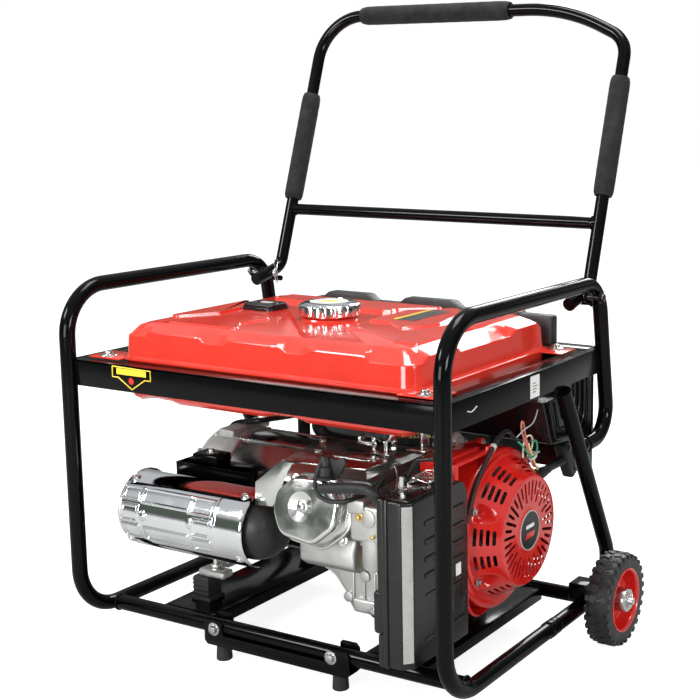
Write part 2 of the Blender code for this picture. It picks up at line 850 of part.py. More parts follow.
def blower_housing():
    """The red fan housing: a drum open to the engine, with a duct over the cylinder."""
    outer = 0.1280
    inner = 0.1255
    profile = [
        (0.1060, 0.0690),
        (outer - 0.0060, 0.0690),
        (outer, 0.0640),
        (outer, 0.0),
        (inner, 0.0),
        (inner, 0.0640),
        (0.1060, 0.0665),
    ]
    housing = turned("blower_housing", profile, gloss_red(), (0.2060, CRANK_Y, 0.2170), 36, "X", True)
    duct = box("blower_duct", (0.2080, -0.0850, 0.262), (0.2720, -0.0720, 0.352), gloss_red(), 0.004, 1)
    roof = box("blower_roof", (0.2085, -0.0840, 0.3430), (0.2715, 0.0300, 0.3515), gloss_red(), 0.001, 1)
    join(housing, duct)
    return join(housing, roof)


def recoil_cover():
    """The starter's dish, with its centre post and rope guide."""
    profile = [
        (0.0, 0.3250),
        (0.0800, 0.3250),
        (0.0870, 0.3230),
        (0.1050, 0.2830),
        (0.1160, 0.2800),
        (0.1160, 0.2754),
        (0.1035, 0.2754),
        (0.0840, 0.3200),
        (0.0780, 0.3215),
        (0.0080, 0.3215),
        (0.0080, 0.2790),
        (0.0, 0.2790),
    ]
    cover = turned("recoil_cover", profile, gloss_red(), (0.0, CRANK_Y, CRANK_Z), 36, "X")
    guide_start = (0.2900, 0.1290, 0.2825)
    join(cover, cylinder("rope_guide", guide_start, (0.2900, 0.1925, 0.2825), 0.0095, rubber(), 16))
    bore_start = (0.2900, 0.1100, 0.2825)
    return cut(cover, cylinder("rope_bore", bore_start, (0.2900, 0.2000, 0.2825), 0.0032, None, 16))


def recoil_pulley():
    profile = [
        (0.0086, 0.0140),
        (0.0660, 0.0140),
        (0.0660, 0.0115),
        (0.0590, 0.0098),
        (0.0590, 0.0042),
        (0.0660, 0.0025),
        (0.0660, 0.0),
        (0.0086, 0.0),
    ]
    return turned("recoil_pulley", profile, black_plastic(), (0.2830, CRANK_Y, CRANK_Z), 24, "X", True)


def recoil_grip():
    """The T-shaped starter handle with its stem and the straight stretch of its rope."""
    place = (0.2900, 0.1928, 0.2825)
    end = (0.2900, 0.2440, 0.2825)
    grip = cylinder("recoil_grip", place, end, 0.0062, black_plastic(), 16, origin=place)
    bar_low = (0.2780, 0.2380, 0.2470)
    join(grip, box("recoil_grip_bar", bar_low, (0.3020, 0.2640, 0.3180), black_plastic(), 0.007, 2))
    rope_start = (0.2900, 0.0560, 0.2825)
    return join(grip, cylinder("recoil_rope", rope_start, (0.2900, 0.2000, 0.2825), 0.0020, None, 12))


def flywheel():
    """The fan flywheel on the crankshaft."""
    profile = [
        (0.0153, 0.0420),
        (0.0300, 0.0420),
        (0.0300, 0.0260),
        (0.0900, 0.0260),
        (0.1000, 0.0220),
        (0.1000, 0.0),
        (0.0860, 0.0),
        (0.0840, 0.0160),
        (0.0153, 0.0160),
    ]
    return turned("flywheel", profile, cast_aluminium(), (0.2180, CRANK_Y, CRANK_Z), 28, "X", True)


def crankshaft():
    start = (-0.2780, CRANK_Y, CRANK_Z)
    return smooth(cylinder("crankshaft", start, (0.2700, CRANK_Y, CRANK_Z), 0.0150, steel(), 24))


# ---------------------------------------------------------------- alternator


def alternator_housing():
    """The stator barrel, open at both ends, on its cross foot."""
    profile = [(0.0720, 0.2800), (0.0980, 0.2800), (0.0980, 0.0), (0.0720, 0.0)]
    end = (-0.2750, CRANK_Y, CRANK_Z)
    barrel = turned("alternator_housing", profile, cast_aluminium(), end, 30, "X", True)
    foot_low = (-0.2240, -0.1120, 0.1023)
    foot_high = (-0.1960, 0.2090, 0.1130)
    join(barrel, box("alternator_foot", foot_low, foot_high, cast_aluminium(), 0.004, 1))
    web_low = (-0.2230, -0.0100, 0.1100)
    web_high = (-0.1940, 0.1100, 0.1400)
    join(barrel, box("alternator_web", web_low, web_high, cast_aluminium()))
    return barrel


def alternator_end_cover():
    """The outer end bell, with the brush cover's dome in its middle."""
    profile = [
        (0.0960, 0.0197),
        (0.0960, 0.0100),
        (0.0860, 0.0),
        (0.0500, -0.0030),
        (0.0, -0.0040),
    ]
    inside = [(0.0, 0.0130), (0.0680, 0.0130), (0.0720, 0.0197)]
    end = (-0.2950, CRANK_Y, CRANK_Z)
    return turned("alternator_end_cover", inside + profile, cast_aluminium(), end, 30, "X")


def alternator_rotor():
    profile = [(0.0153, 0.2300), (0.0690, 0.2300), (0.0690, 0.0), (0.0153, 0.0)]
    return turned("alternator_rotor", profile, steel(), (-0.2450, CRANK_Y, CRANK_Z), 24, "X", True)


def rubber_mount(name, y):
    return box(name, (-0.2290, y - 0.018, 0.0603), (-0.1930, y + 0.018, 0.1020), rubber(), 0.002, 1)


# ---------------------------------------------------------------- control panel


def control_panel():
    """The box under the rear of the tank ring. Its outlets face the rear."""
    corners = [(0.100, 0.4140, 0), (0.128, 0.3400, 0), (0.2550, 0.3265, 0), (0.2550, 0.4385, 0)]
    flat = [(p.x, p.y) for p in rounded_path(corners, [0.012, 0.036], 4)]
    flat += [(0.2000, 0.4385), (0.2000, 0.4140)]
    panel = extruded("control_panel", flat, 0.565, black_plastic(), (0.0425, 0, 0), "YZ")
    for tag, x in (("left", 0.000), ("right", 0.080)):
        seat = (x, 0.2500, 0.3830)
        join(panel, cylinder(f"socket_body_{tag}", seat, (x, 0.2620, 0.3830), 0.0250, black_plastic(), 24))
        hole = (x, 0.2450, 0.3830)
        cut(panel, cylinder(f"socket_hole_{tag}", hole, (x, 0.2700, 0.3830), 0.0190, None, 24))
    cut(panel, box("rocker_hole", (0.150, 0.2400, 0.3640), (0.1800, 0.2700, 0.4000), None))
    cut(panel, cylinder("key_hole", (0.240, 0.2450, 0.3830), (0.240, 0.2700, 0.3830), 0.0085, None, 20))
    return panel


def socket_lid(name, x):
    """The sprung lid of a socket, hinged along its top edge."""
    origin = (x, 0.2665, 0.4105)
    start = (x, 0.2625, 0.3830)
    lid = cylinder(name, start, (x, 0.2660, 0.3830), 0.0255, black_plastic(), 24, origin=origin)
    start = (x - 0.012, 0.2655, 0.4085)
    end = (x + 0.012, 0.2655, 0.4085)
    barrel = cylinder(name + "_barrel", start, end, 0.0030, black_plastic(), 12)
    return join(lid, barrel)


def breaker_rocker():
    origin = (0.165, 0.2530, 0.3820)
    low = (0.1530, 0.2460, 0.3680)
    high = (0.1770, 0.2610, 0.3960)
    return box("breaker_rocker", low, high, gloss_red(), 0.002, 1, origin=origin)


def key_switch():
    """The engine switch: a barrel in the panel and a bow to turn it by."""
    origin = (0.240, 0.2480, 0.3830)
    key = cylinder("key_switch", origin, (0.240, 0.2600, 0.3830), 0.0080, steel(), 20, origin=origin)
    bow = box("key_bow", (0.2380, 0.2580, 0.3750), (0.2420, 0.2800, 0.3910), black_plastic(), 0.001, 1)
    return join(key, bow)


def build():
    clear_scene()
    make_collections()
    end_frame("end_frame_left", -1)
    end_frame("end_frame_right", 1)
    base_rail("base_rail_front", BASE_FRONT_Y)
    base_rail("base_rail_rear", BASE_REAR_Y)
    tank_frame()
    engine_beam("engine_beam_left", -0.255, -0.145)
    engine_beam("engine_beam_right", 0.152, 0.262)
    foot_bracket()
    foot("foot_left", -0.114)
    foot("foot_right", 0.116)
    for tag, side in (("left", -1), ("right", 1)):
        axle(f"axle_{tag}", side)
        rim(f"rim_{tag}", side)
        tyre(f"tyre_{tag}", side)
        handle_pivot(f"handle_pivot_{tag}", side)
    handle_tube()
    foam_grip("grip_top", (-0.236, *HANDLE_TOP), (0.086, *HANDLE_TOP))
    foam_grip("grip_left", leg_point(-HANDLE_X, 0.703), leg_point(-HANDLE_X, 0.899))
    foam_grip("grip_right", leg_point(HANDLE_X, 0.729), leg_point(HANDLE_X, 0.926))
    fuel_tank()
    tank_trim()
    cap_gasket()
    fuel_cap()
    fuel_gauge()
    fuel_valve()
    fuel_valve_lever()
    crankcase()
    cylinder_head()
    valve_cover()
    head_shroud()
    muffler()
    muffler_shield()
    carburettor()
    choke_lever()
    filter_base()
    filter_element()
    filter_cover()
    filter_latch()
    breather_hose()
    spark_plug_cap()
    oil_drain_tube()
    blower_housing()
    recoil_cover()
    recoil_pulley()
    recoil_grip()
    flywheel()
    crankshaft()
    alternator_housing()
    alternator_end_cover()
    alternator_rotor()
    rubber_mount("mount_front", -0.097)
    rubber_mount("mount_rear", 0.194)
    control_panel()
    socket_lid("socket_lid_left", 0.000)
    socket_lid("socket_lid_right", 0.080)
    breaker_rocker()
    key_switch()
    centre_on_footprint()


def centre_on_footprint():
    """Moves the whole object so that the middle of its outline stands at the origin."""
    for obj in (*PARTS.objects, *CUTTERS.objects):
        obj.location.y -= CENTRE_Y


build()
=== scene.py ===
"""The looks of the portable generator: materials, detailed pieces, studio and camera.

Metres, in the CAD frame: +Z up, ground at Z = 0, +X towards the recoil starter,
-Y towards the muffler and air filter, +Y towards the wheels, handle and control panel.
"""

import json
import math

import bmesh
import bpy
from mathutils import Matrix, Vector


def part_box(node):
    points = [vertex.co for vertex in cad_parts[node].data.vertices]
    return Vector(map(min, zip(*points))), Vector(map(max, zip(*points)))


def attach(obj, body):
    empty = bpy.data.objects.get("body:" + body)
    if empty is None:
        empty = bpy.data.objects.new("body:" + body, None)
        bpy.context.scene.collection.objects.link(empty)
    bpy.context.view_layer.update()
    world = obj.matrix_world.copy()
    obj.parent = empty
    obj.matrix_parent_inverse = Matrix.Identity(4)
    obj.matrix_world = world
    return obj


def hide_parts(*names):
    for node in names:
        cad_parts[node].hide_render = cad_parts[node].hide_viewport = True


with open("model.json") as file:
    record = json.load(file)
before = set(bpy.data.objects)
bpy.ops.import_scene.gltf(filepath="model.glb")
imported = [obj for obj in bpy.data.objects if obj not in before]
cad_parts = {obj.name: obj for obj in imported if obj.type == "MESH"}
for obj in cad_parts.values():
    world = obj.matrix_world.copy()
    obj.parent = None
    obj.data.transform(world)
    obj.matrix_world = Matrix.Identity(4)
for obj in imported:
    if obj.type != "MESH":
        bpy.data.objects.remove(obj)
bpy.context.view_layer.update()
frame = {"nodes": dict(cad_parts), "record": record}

# Places of the CAD model, shared with part.py. Lengths along Y are measured from the
# frame's own middle, and CENTRE_Y takes them to the shared frame.
CENTRE_Y = 0.0914
HOOP_X = 0.35
RAIL_Z = 0.054
TOP_Z = 0.594
FRONT_Y = -0.243
TUBE_R = 0.0125
LEG_R = 0.0128
SLEEVE_Y = 0.0635
CRANK_Y = 0.05
CRANK_Z = 0.221
PIVOT = (0.2235, 0.5699)
FILLER = (-0.01, -0.008)
WHEEL = (0.4086, 0.192, 0.077)
CYLINDER_TILT = math.radians(15.0)
CYLINDER_X = 0.0915
HANDLE_LOW = (0.2598, 0.579)
HANDLE_HIGH = (0.4207, 1.048)
HANDLE_X = 0.324
PANEL_FACE_Y = 0.255
SOCKET_Z = 0.383
STATOR_BORE = 0.072
STATOR_R = 0.098
GRIP_X = 0.29
CAN_Y = -0.175
CAN_Z = 0.237
VALVE_X = 0.18
VALVE_Z = 0.398
FLOOR_SIZE = 14.0
FLOOR_GLOW = 0.88


def at(x, y, z):
    """A place in the shared frame from one measured about the frame's middle."""
    return Vector((x, y - CENTRE_Y, z))


# ---------------------------------------------------------------- materials


class Nodes:
    """A small wrapper that adds nodes to one material and links them."""

    def __init__(self, name):
        self.material = bpy.data.materials.new(name)
        self.material.use_nodes = True
        self.tree = self.material.node_tree
        self.shader = self.tree.nodes["Principled BSDF"]
        self.place = self.tree.nodes.new("ShaderNodeTexCoord").outputs["Object"]

    def noise(self, scale, detail=3.0, roughness=0.5, vector=None):
        node = self.tree.nodes.new("ShaderNodeTexNoise")
        node.inputs["Scale"].default_value = scale
        node.inputs["Detail"].default_value = detail
        node.inputs["Roughness"].default_value = roughness
        self.tree.links.new(vector or self.place, node.inputs["Vector"])
        return node.outputs["Fac"]

    def stretched(self, x, y, z):
        node = self.tree.nodes.new("ShaderNodeMapping")
        node.inputs["Scale"].default_value = (x, y, z)
        self.tree.links.new(self.place, node.inputs["Vector"])
        return node.outputs["Vector"]

    def voronoi(self, scale, vector=None):
        node = self.tree.nodes.new("ShaderNodeTexVoronoi")
        node.inputs["Scale"].default_value = scale
        self.tree.links.new(vector or self.place, node.inputs["Vector"])
        return node.outputs["Distance"]

    def ramp(self, value, low, high, from_low=0.35, from_high=0.65):
        node = self.tree.nodes.new("ShaderNodeMapRange")
        node.inputs["From Min"].default_value = from_low
        node.inputs["From Max"].default_value = from_high
        node.inputs["To Min"].default_value = low
        node.inputs["To Max"].default_value = high
        self.tree.links.new(value, node.inputs["Value"])
        return node.outputs["Result"]

    def colours(self, value, *stops):
        node = self.tree.nodes.new("ShaderNodeValToRGB")
        first, last = node.color_ramp.elements
        first.position, first.color = stops[0][0], (*stops[0][1], 1.0)
        last.position, last.color = stops[-1][0], (*stops[-1][1], 1.0)
        for place, colour in stops[1:-1]:
            node.color_ramp.elements.new(place).color = (*colour, 1.0)
        self.tree.links.new(value, node.inputs["Fac"])
        return node.outputs["Color"]

    def bump(self, height, strength, distance=0.001):
        node = self.tree.nodes.new("ShaderNodeBump")
        node.inputs["Strength"].default_value = strength
        node.inputs["Distance"].default_value = distance
        self.tree.links.new(height, node.inputs["Height"])
        self.tree.links.new(node.outputs["Normal"], self.shader.inputs["Normal"])

    def set(self, **values):
        for name, value in values.items():
            socket = self.shader.inputs[name.replace("_", " ")]
            if isinstance(value, bpy.types.NodeSocket):
                self.tree.links.new(value, socket)
            else:
                socket.default_value = value
        return self.material


def shade(colour, factor):
    """The colour made lighter or darker by a factor."""
    return tuple(min(1.0, channel * factor) for channel in colour)


def enamel(name, colour, roughness, wave=0.05, coat=0.6):
    """Sprayed gloss paint: a faint orange peel, and dust-dulled patches."""
    n = Nodes(name)
    patches = n.noise(9.0, 5.0)
    n.bump(n.noise(420.0, 2.0), wave, 0.0004)
    return n.set(
        Base_Color=n.colours(patches, (0.3, shade(colour, 0.9)), (0.7, shade(colour, 1.06))),
        Roughness=n.ramp(n.noise(26.0, 6.0), roughness * 0.8, roughness * 1.35), Coat_Weight=coat,
        Coat_Roughness=0.06, Specular_IOR_Level=0.04 + 0.76 * coat
    )


def bright_metal(name, colour, low, high, grain=900.0, strength=0.03):
    """Plated or polished metal with fine handling marks."""
    n = Nodes(name)
    n.bump(n.noise(grain, 3.0), strength, 0.0003)
    return n.set(
        Base_Color=n.colours(n.noise(14.0, 4.0), (0.35, shade(colour, 0.93)), (0.65, colour)),
        Roughness=n.ramp(n.noise(38.0, 6.0), low, high), Metallic=1.0
    )


def cast_metal(name, colour):
    """Sand- or die-cast aluminium: grainy skin and uneven tone."""
    n = Nodes(name)
    n.bump(n.noise(700.0, 6.0, 0.7), 0.35, 0.0006)
    return n.set(
        Base_Color=n.colours(n.noise(22.0, 6.0), (0.3, shade(colour, 0.78)), (0.7, shade(colour, 1.1))),
        Roughness=n.ramp(n.noise(60.0, 5.0), 0.34, 0.55), Metallic=0.85
    )


def moulded(name, colour, roughness, grain=1300.0, strength=0.18):
    """Moulded plastic with a fine leather-like grain and scuffs."""
    n = Nodes(name)
    n.bump(n.voronoi(grain), strength, 0.0003)
    return n.set(
        Base_Color=n.colours(n.noise(30.0, 5.0), (0.3, shade(colour, 0.8)), (0.7, shade(colour, 1.25))),
        Roughness=n.ramp(n.noise(18.0, 6.0), roughness * 0.85, roughness * 1.25)
    )


def soft_rubber(name, colour, roughness, grain, strength):
    """Dull rubber with a fine grain pressed into it."""
    n = Nodes(name)
    n.bump(n.noise(grain, 5.0, 0.65), strength, 0.0008)
    return n.set(
        Base_Color=n.colours(n.noise(40.0, 5.0), (0.3, shade(colour, 0.75)), (0.7, shade(colour, 1.4))),
        Roughness=n.ramp(n.noise(50.0, 4.0), roughness * 0.9, min(1.0, roughness * 1.15)), Sheen_Weight=0.03
    )


FRAME_BLACK = enamel("frame_black", (0.0016, 0.0017, 0.002), 0.13, 0.05, 0.08)
RED = enamel("gloss_red", (0.62, 0.013, 0.009), 0.2)
TANK_RED = enamel("tank_red", (0.7, 0.034, 0.018), 0.17, 0.03)
GRIP_GREY = moulded("grip_grey", (0.03, 0.031, 0.033), 0.55)
CHROME = bright_metal("chrome", (0.8, 0.81, 0.83), 0.03, 0.09)
ZINC = bright_metal("zinc", (0.7, 0.71, 0.69), 0.14, 0.27, 600.0, 0.05)
STEEL = bright_metal("steel", (0.6, 0.6, 0.59), 0.18, 0.35)
CAST = cast_metal("cast_aluminium", (0.6, 0.6, 0.585))
BLACK_PLASTIC = moulded("black_plastic", (0.0045, 0.0045, 0.005), 0.26)
DULL_PLASTIC = moulded("dull_plastic", (0.016, 0.017, 0.018), 0.5)
RUBBER = soft_rubber("rubber", (0.006, 0.0064, 0.0072), 0.55, 900.0, 0.15)
TYRE = soft_rubber("tyre", (0.0042, 0.0046, 0.0052), 0.44, 500.0, 0.25)
FOAM = soft_rubber("foam", (0.005, 0.005, 0.0056), 0.88, 1500.0, 0.6)
MUFFLER = soft_rubber("muffler_black", (0.01, 0.01, 0.01), 0.42, 1100.0, 0.1)
YELLOW = enamel("decal_yellow", (0.85, 0.62, 0.02), 0.35)
WHITE = enamel("decal_white", (0.8, 0.8, 0.78), 0.35)
PALE_PLASTIC = moulded("pale_plastic", (0.55, 0.54, 0.5), 0.4)
GOLD = bright_metal("gold_zinc", (0.75, 0.55, 0.22), 0.2, 0.35)
STATOR = bright_metal("stator_steel", (0.5, 0.49, 0.48), 0.12, 0.24, 500.0, 0.04)
PANEL_BLACK = moulded("panel_black", (0.003, 0.003, 0.0036), 0.2)
WIRES = {
    "white": moulded("wire_white", (0.7, 0.66, 0.55), 0.4), "pink": moulded("wire_pink", (0.62, 0.2, 0.14), 0.4),
    "yellow": moulded("wire_yellow", (0.7, 0.62, 0.25), 0.4),
    "green": moulded("wire_green", (0.02, 0.3, 0.16), 0.4), "grey": moulded("wire_grey", (0.42, 0.45, 0.46), 0.4)
}


# ---------------------------------------------------------------- mesh helpers


def add(obj, body, material, replaces=(), soft_angle=35.0):
    """Gives a finished piece its material and its body."""
    if obj.name not in bpy.context.scene.collection.objects:
        bpy.context.scene.collection.objects.link(obj)
    if material is not None:
        obj.data.materials.clear()
        obj.data.materials.append(material)
    if obj.type == "MESH":
        obj.data.shade_smooth()
        if soft_angle < 179:
            obj.data.set_sharp_from_angle(angle=math.radians(soft_angle))
    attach(obj, body)
    if replaces:
        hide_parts(*replaces)
    return obj


def from_bmesh(bm, name):
    """A mesh object that takes over the shape of this bmesh."""
    mesh = bpy.data.meshes.new(name)
    bmesh.ops.recalc_face_normals(bm, faces=bm.faces)
    bm.to_mesh(mesh)
    bm.free()
    return bpy.data.objects.new(name, mesh)


def bevelled(obj, width, segments=3):
    """Rounds every sharp edge of a mesh, once and for all."""
    bm = bmesh.new()
    bm.from_mesh(obj.data)
    sharp = [e for e in bm.edges if len(e.link_faces) == 2 and e.calc_face_angle() > 0.5]
    bmesh.ops.bevel(
        bm, geom=sharp, offset=width, segments=segments, profile=0.5, affect="EDGES", clamp_overlap=True
    )
    bm.to_mesh(obj.data)
    bm.free()
    return obj


def block(name, low, high, bevel=0.0, segments=3):
    """A rounded box between two corners in the shared frame."""
    low = Vector(low)
    high = Vector(high)
    bm = bmesh.new()
    bmesh.ops.create_cube(bm, size=1.0)
    bmesh.ops.scale(bm, vec=high - low, verts=bm.verts)
    bmesh.ops.translate(bm, vec=(low + high) / 2, verts=bm.verts)
    obj = from_bmesh(bm, name)
    return bevelled(obj, bevel, segments) if bevel else obj


def rod(name, start, end, radius, sides=32, end_radius=None, bevel=0.0):
    """A round bar, or a cone, from one place to another."""
    start = Vector(start)
    end = Vector(end)
    axis = end - start
    turn = axis.to_track_quat("Z", "Y").to_matrix().to_4x4()
    bm = bmesh.new()
    bmesh.ops.create_cone(
        bm, cap_ends=True, segments=sides, radius1=radius, radius2=radius if end_radius is None else end_radius,
        depth=axis.length, matrix=Matrix.Translation((start + end) / 2) @ turn
    )
    obj = from_bmesh(bm, name)
    return bevelled(obj, bevel, 2) if bevel else obj


def merged(name, objects):
    """One piece out of several, each kept with its own material."""
    bm = bmesh.new()
    materials = []
    for obj in objects:
        first = len(bm.faces)
        bm.from_mesh(obj.data)
        bm.faces.ensure_lookup_table()
        offset = len(materials)
        for face in bm.faces[first:]:
            face.material_index += offset
        materials += list(obj.data.materials) or [None]
        bpy.data.objects.remove(obj)
    obj = from_bmesh(bm, name)
    for material in materials:
        obj.data.materials.append(material)
    return obj


def dressed(obj, material):
    """The object, wearing one material of its own."""
    obj.data.materials.clear()
    obj.data.materials.append(material)
    return obj


def lathe(name, profile, centre, direction=(1, 0, 0), steps=64, closed=True):
    """A surface turned about direction through centre: profile is (radius, distance)."""
    axis = Vector(direction).normalized()
    turn = axis.to_track_quat("Z", "Y").to_matrix()
    centre = Vector(centre)
    bm = bmesh.new()
    rings = []
    for radius, distance in profile:
        ring = []
        if radius < 1e-6:
            ring = [bm.verts.new(centre + turn @ Vector((0, 0, distance)))] * steps
        else:
            for k in range(steps):
                angle = 2 * math.pi * k / steps
                spoke = Vector((radius * math.cos(angle), radius * math.sin(angle), distance))
                ring.append(bm.verts.new(centre + turn @ spoke))
        rings.append(ring)
    pairs = list(zip(rings, rings[1:]))
    if closed:
        pairs.append((rings[-1], rings[0]))
    for low, high in pairs:
        for k in range(steps):
            corners = [low[k], low[(k + 1) % steps], high[(k + 1) % steps], high[k]]
            unique = list(dict.fromkeys(corners))
            if len(unique) > 2:
                bm.faces.new(unique)
    return from_bmesh(bm, name)


def rounded_path(points, radii, steps=14):
    """The corner points of a path with each inner corner replaced by an arc."""
    points = [Vector(p) for p in points]
    path = [points[0]]
    for i in range(1, len(points) - 1):
        before = (points[i - 1] - points[i]).normalized()
        after = (points[i + 1] - points[i]).normalized()
        half = before.angle(after) / 2
        radius = radii[i - 1]
        back = radius / math.tan(half)
        centre = points[i] + (before + after).normalized() * (radius / math.sin(half))
        spoke = points[i] + before * back - centre
        sweep = spoke.angle(points[i] + after * back - centre)
        axis = spoke.cross(points[i] + after * back - centre).normalized()
        for k in range(steps + 1):
            path.append(centre + Matrix.Rotation(sweep * k / steps, 3, axis) @ spoke)
    path.append(points[-1])
    return path


def tube(name, path, radius, resolution=10):
    """A round tube along a path in the shared frame, as a mesh."""
    data = bpy.data.curves.new(name, "CURVE")
    data.dimensions = "3D"
    data.bevel_depth = radius
    data.bevel_resolution = resolution
    data.use_fill_caps = True
    spline = data.splines.new("POLY")
    spline.points.add(len(path) - 1)
    for point, place in zip(spline.points, path):
        point.co = (*place, 1.0)
    curve = bpy.data.objects.new(name + "_path", data)
    bpy.context.scene.collection.objects.link(curve)
    graph = bpy.context.evaluated_depsgraph_get()
    mesh = bpy.data.meshes.new_from_object(curve.evaluated_get(graph))
    mesh.materials.clear()
    bpy.data.objects.remove(curve)
    bm = bmesh.new()
    bm.from_mesh(mesh)
    bmesh.ops.remove_doubles(bm, verts=bm.verts, dist=0.00001)
    bpy.data.meshes.remove(mesh)
    return from_bmesh(bm, name)


def smooth_path(points, per_span=8):
    """A Catmull-Rom curve through given points."""
    points = [Vector(p) for p in points]
    padded = [2 * points[0] - points[1]] + points + [2 * points[-1] - points[-2]]
    path = []
    for a, b, c, d in zip(padded, padded[1:], padded[2:], padded[3:]):
        for k in range(per_span):
            t = k / per_span
            path.append(
                0.5 * (
                    2 * b + (c - a) * t + (
                        2 * a - 5 * b + 4 * c - d
                    ) * t * t + (3 * b - a - 3 * c + d) * t * t * t
                )
            )
    path.append(points[-1])
    return path


def prism(name, outline, depth, centre, across, up, bevel=0.0, segments=3):
    """An outline in the (across, up) plane given a thickness centred on that plane."""
    across = Vector(across).normalized()
    up = Vector(up).normalized()
    out = across.cross(up)
    centre = Vector(centre)
    bm = bmesh.new()
    front = [bm.verts.new(centre + across * u + up * v + out * depth / 2) for u, v in outline]
    back = [bm.verts.new(centre + across * u + up * v - out * depth / 2) for u, v in outline]
    bm.faces.new(front)
    bm.faces.new(back[::-1])
    for k in range(len(outline)):
        j = (k + 1) % len(outline)
        bm.faces.new((front[j], front[k], back[k], back[j]))
    obj = from_bmesh(bm, name)
    return bevelled(obj, bevel, segments) if bevel else obj


def rounded_rectangle(width, height, radius, steps=6):
    """The outline of a rectangle about its middle, with round corners."""
    outline = []
    for k, (sx, sy) in enumerate(((1, 1), (-1, 1), (-1, -1), (1, -1))):
        for i in range(steps + 1):
            angle = math.pi / 2 * (k + i / steps)
            u = sx * (width / 2 - radius) + radius * math.cos(angle)
            v = sy * (height / 2 - radius) + radius * math.sin(angle)
            outline.append((u, v))
    return outline


def bolt(name, place, direction, size=0.006, washer=True, body="frame", material=None, height=None):
    """A hexagon screw head with its washer, its seat at place."""
    material = material or STEEL
    place = Vector(place)
    out = Vector(direction).normalized()
    tall = height or size * 0.7
    parts = []
    if washer:
        parts.append(rod(name + "_w", place, place + out * size * 0.2, size * 1.45, 24, None, size * 0.05))
    start = place + out * (size * 0.2 if washer else 0)
    parts.append(rod(name + "_h", start, start + out * tall, size, 6, None, size * 0.14))
    return add(merged(name, parts), body, material)


def cut_with(obj, cutters):
    """Subtracts other meshes from a piece and keeps the result as its mesh."""
    scene = bpy.context.scene.collection
    if obj.name not in scene.objects:
        scene.objects.link(obj)
    for other in cutters:
        scene.objects.link(other)
        step = obj.modifiers.new("cut", "BOOLEAN")
        step.object = other
        step.operation = "DIFFERENCE"
        step.solver = "EXACT"
    graph = bpy.context.evaluated_depsgraph_get()
    mesh = bpy.data.meshes.new_from_object(obj.evaluated_get(graph))
    obj.modifiers.clear()
    obj.data = mesh
    for other in cutters:
        bpy.data.objects.remove(other)
    return obj


def rotated(obj, angle, axis, centre):
    """The object, turned about an axis through a centre."""
    turn = Matrix.Translation(centre) @ Matrix.Rotation(angle, 4, axis) @ Matrix.Translation(-Vector(centre))
    obj.data.transform(turn)
    return obj


# ---------------------------------------------------------------- frame and handle


def hoop_path(x):
    """The centre line of one end hoop, from the rear sleeve over the top and back."""
    corners = [
        at(x, SLEEVE_Y + 0.01, RAIL_Z), at(x, FRONT_Y, RAIL_Z), at(x, FRONT_Y, TOP_Z), at(x, 0.2425, TOP_Z),
        at(x, 0.284, 0.329), at(x, 0.18, 0.329)
    ]
    return rounded_path(corners, [0.078, 0.078, 0.062, 0.05])


def leg_path(x):
    """The centre line of one rear leg, up to the upper rail."""
    corners = [at(x, SLEEVE_Y, RAIL_Z), at(x, 0.324, RAIL_Z), at(x, 0.1156, 0.434)]
    return rounded_path(corners, [0.055])


def weld(name, centre, axis, radius, size=0.0022):
    """A ring of overlapping weld drops round a tube."""
    axis = Vector(axis).normalized()
    turn = axis.to_track_quat("Z", "Y").to_matrix()
    bm = bmesh.new()
    count = 26
    for k in range(count):
        angle = 2 * math.pi * k / count
        spoke = turn @ Vector((math.cos(angle), math.sin(angle), 0.0)) * radius
        drop = Matrix.Translation(Vector(centre) + spoke) @ Matrix.Scale(size, 4)
        bmesh.ops.create_uvsphere(bm, u_segments=10, v_segments=6, radius=1.0, matrix=drop)
    return add(from_bmesh(bm, name), "frame", FRAME_BLACK)


def end_frames():
    """The hoop, the leg and the welds at each end of the cradle."""
    for tag, side in (("left", -1), ("right", 1)):
        x = side * HOOP_X
        hoop = tube(f"hoop_{tag}", hoop_path(x), TUBE_R)
        leg = tube(f"leg_{tag}", leg_path(x), LEG_R)
        sleeve = lathe(
            f"sleeve_{tag}",
            [
                (0.0126, 0.016), (0.0137, 0.014), (0.0139, 0.0), (0.0131, -0.004), (0.0131, -0.008),
                (0.0136, -0.011), (0.0134, -0.016), (0.0126, -0.018)
            ],
            at(x, SLEEVE_Y + 0.014, RAIL_Z), (0, -1, 0), 40, False
        )
        peg = rod(
            f"peg_{tag}", at(side * 0.3097, 0.243, 0.5578), at(side * 0.345, 0.243, 0.5578), 0.005, 24, None,
            0.0008
        )
        add(
            merged(f"end_frame_look_{tag}", [hoop, leg, sleeve, peg]), "frame", FRAME_BLACK,
            [f"end_frame_{tag}"]
        )
        weld(f"weld_knee_{tag}", at(x, 0.196, 0.329), (0, 1, -0.1), 0.0128)
        weld(f"weld_peg_{tag}", at(side * 0.3372, 0.243, 0.5578), (1, 0, 0), 0.0056, 0.0015)


def base_rails():
    """The two long rails under the engine and the panel."""
    for tag, y in (("front", -0.169), ("rear", 0.226)):
        path = [at(-0.344, y, RAIL_Z), at(0.344, y, RAIL_Z)]
        add(
            tube(f"base_rail_look_{tag}", path, TUBE_R), "frame", FRAME_BLACK, [f"base_rail_{tag}"]
        )
        for side in (-1, 1):
            weld(f"weld_{tag}_{side}", at(side * 0.3385, y, RAIL_Z), (1, 0, 0), 0.0128)


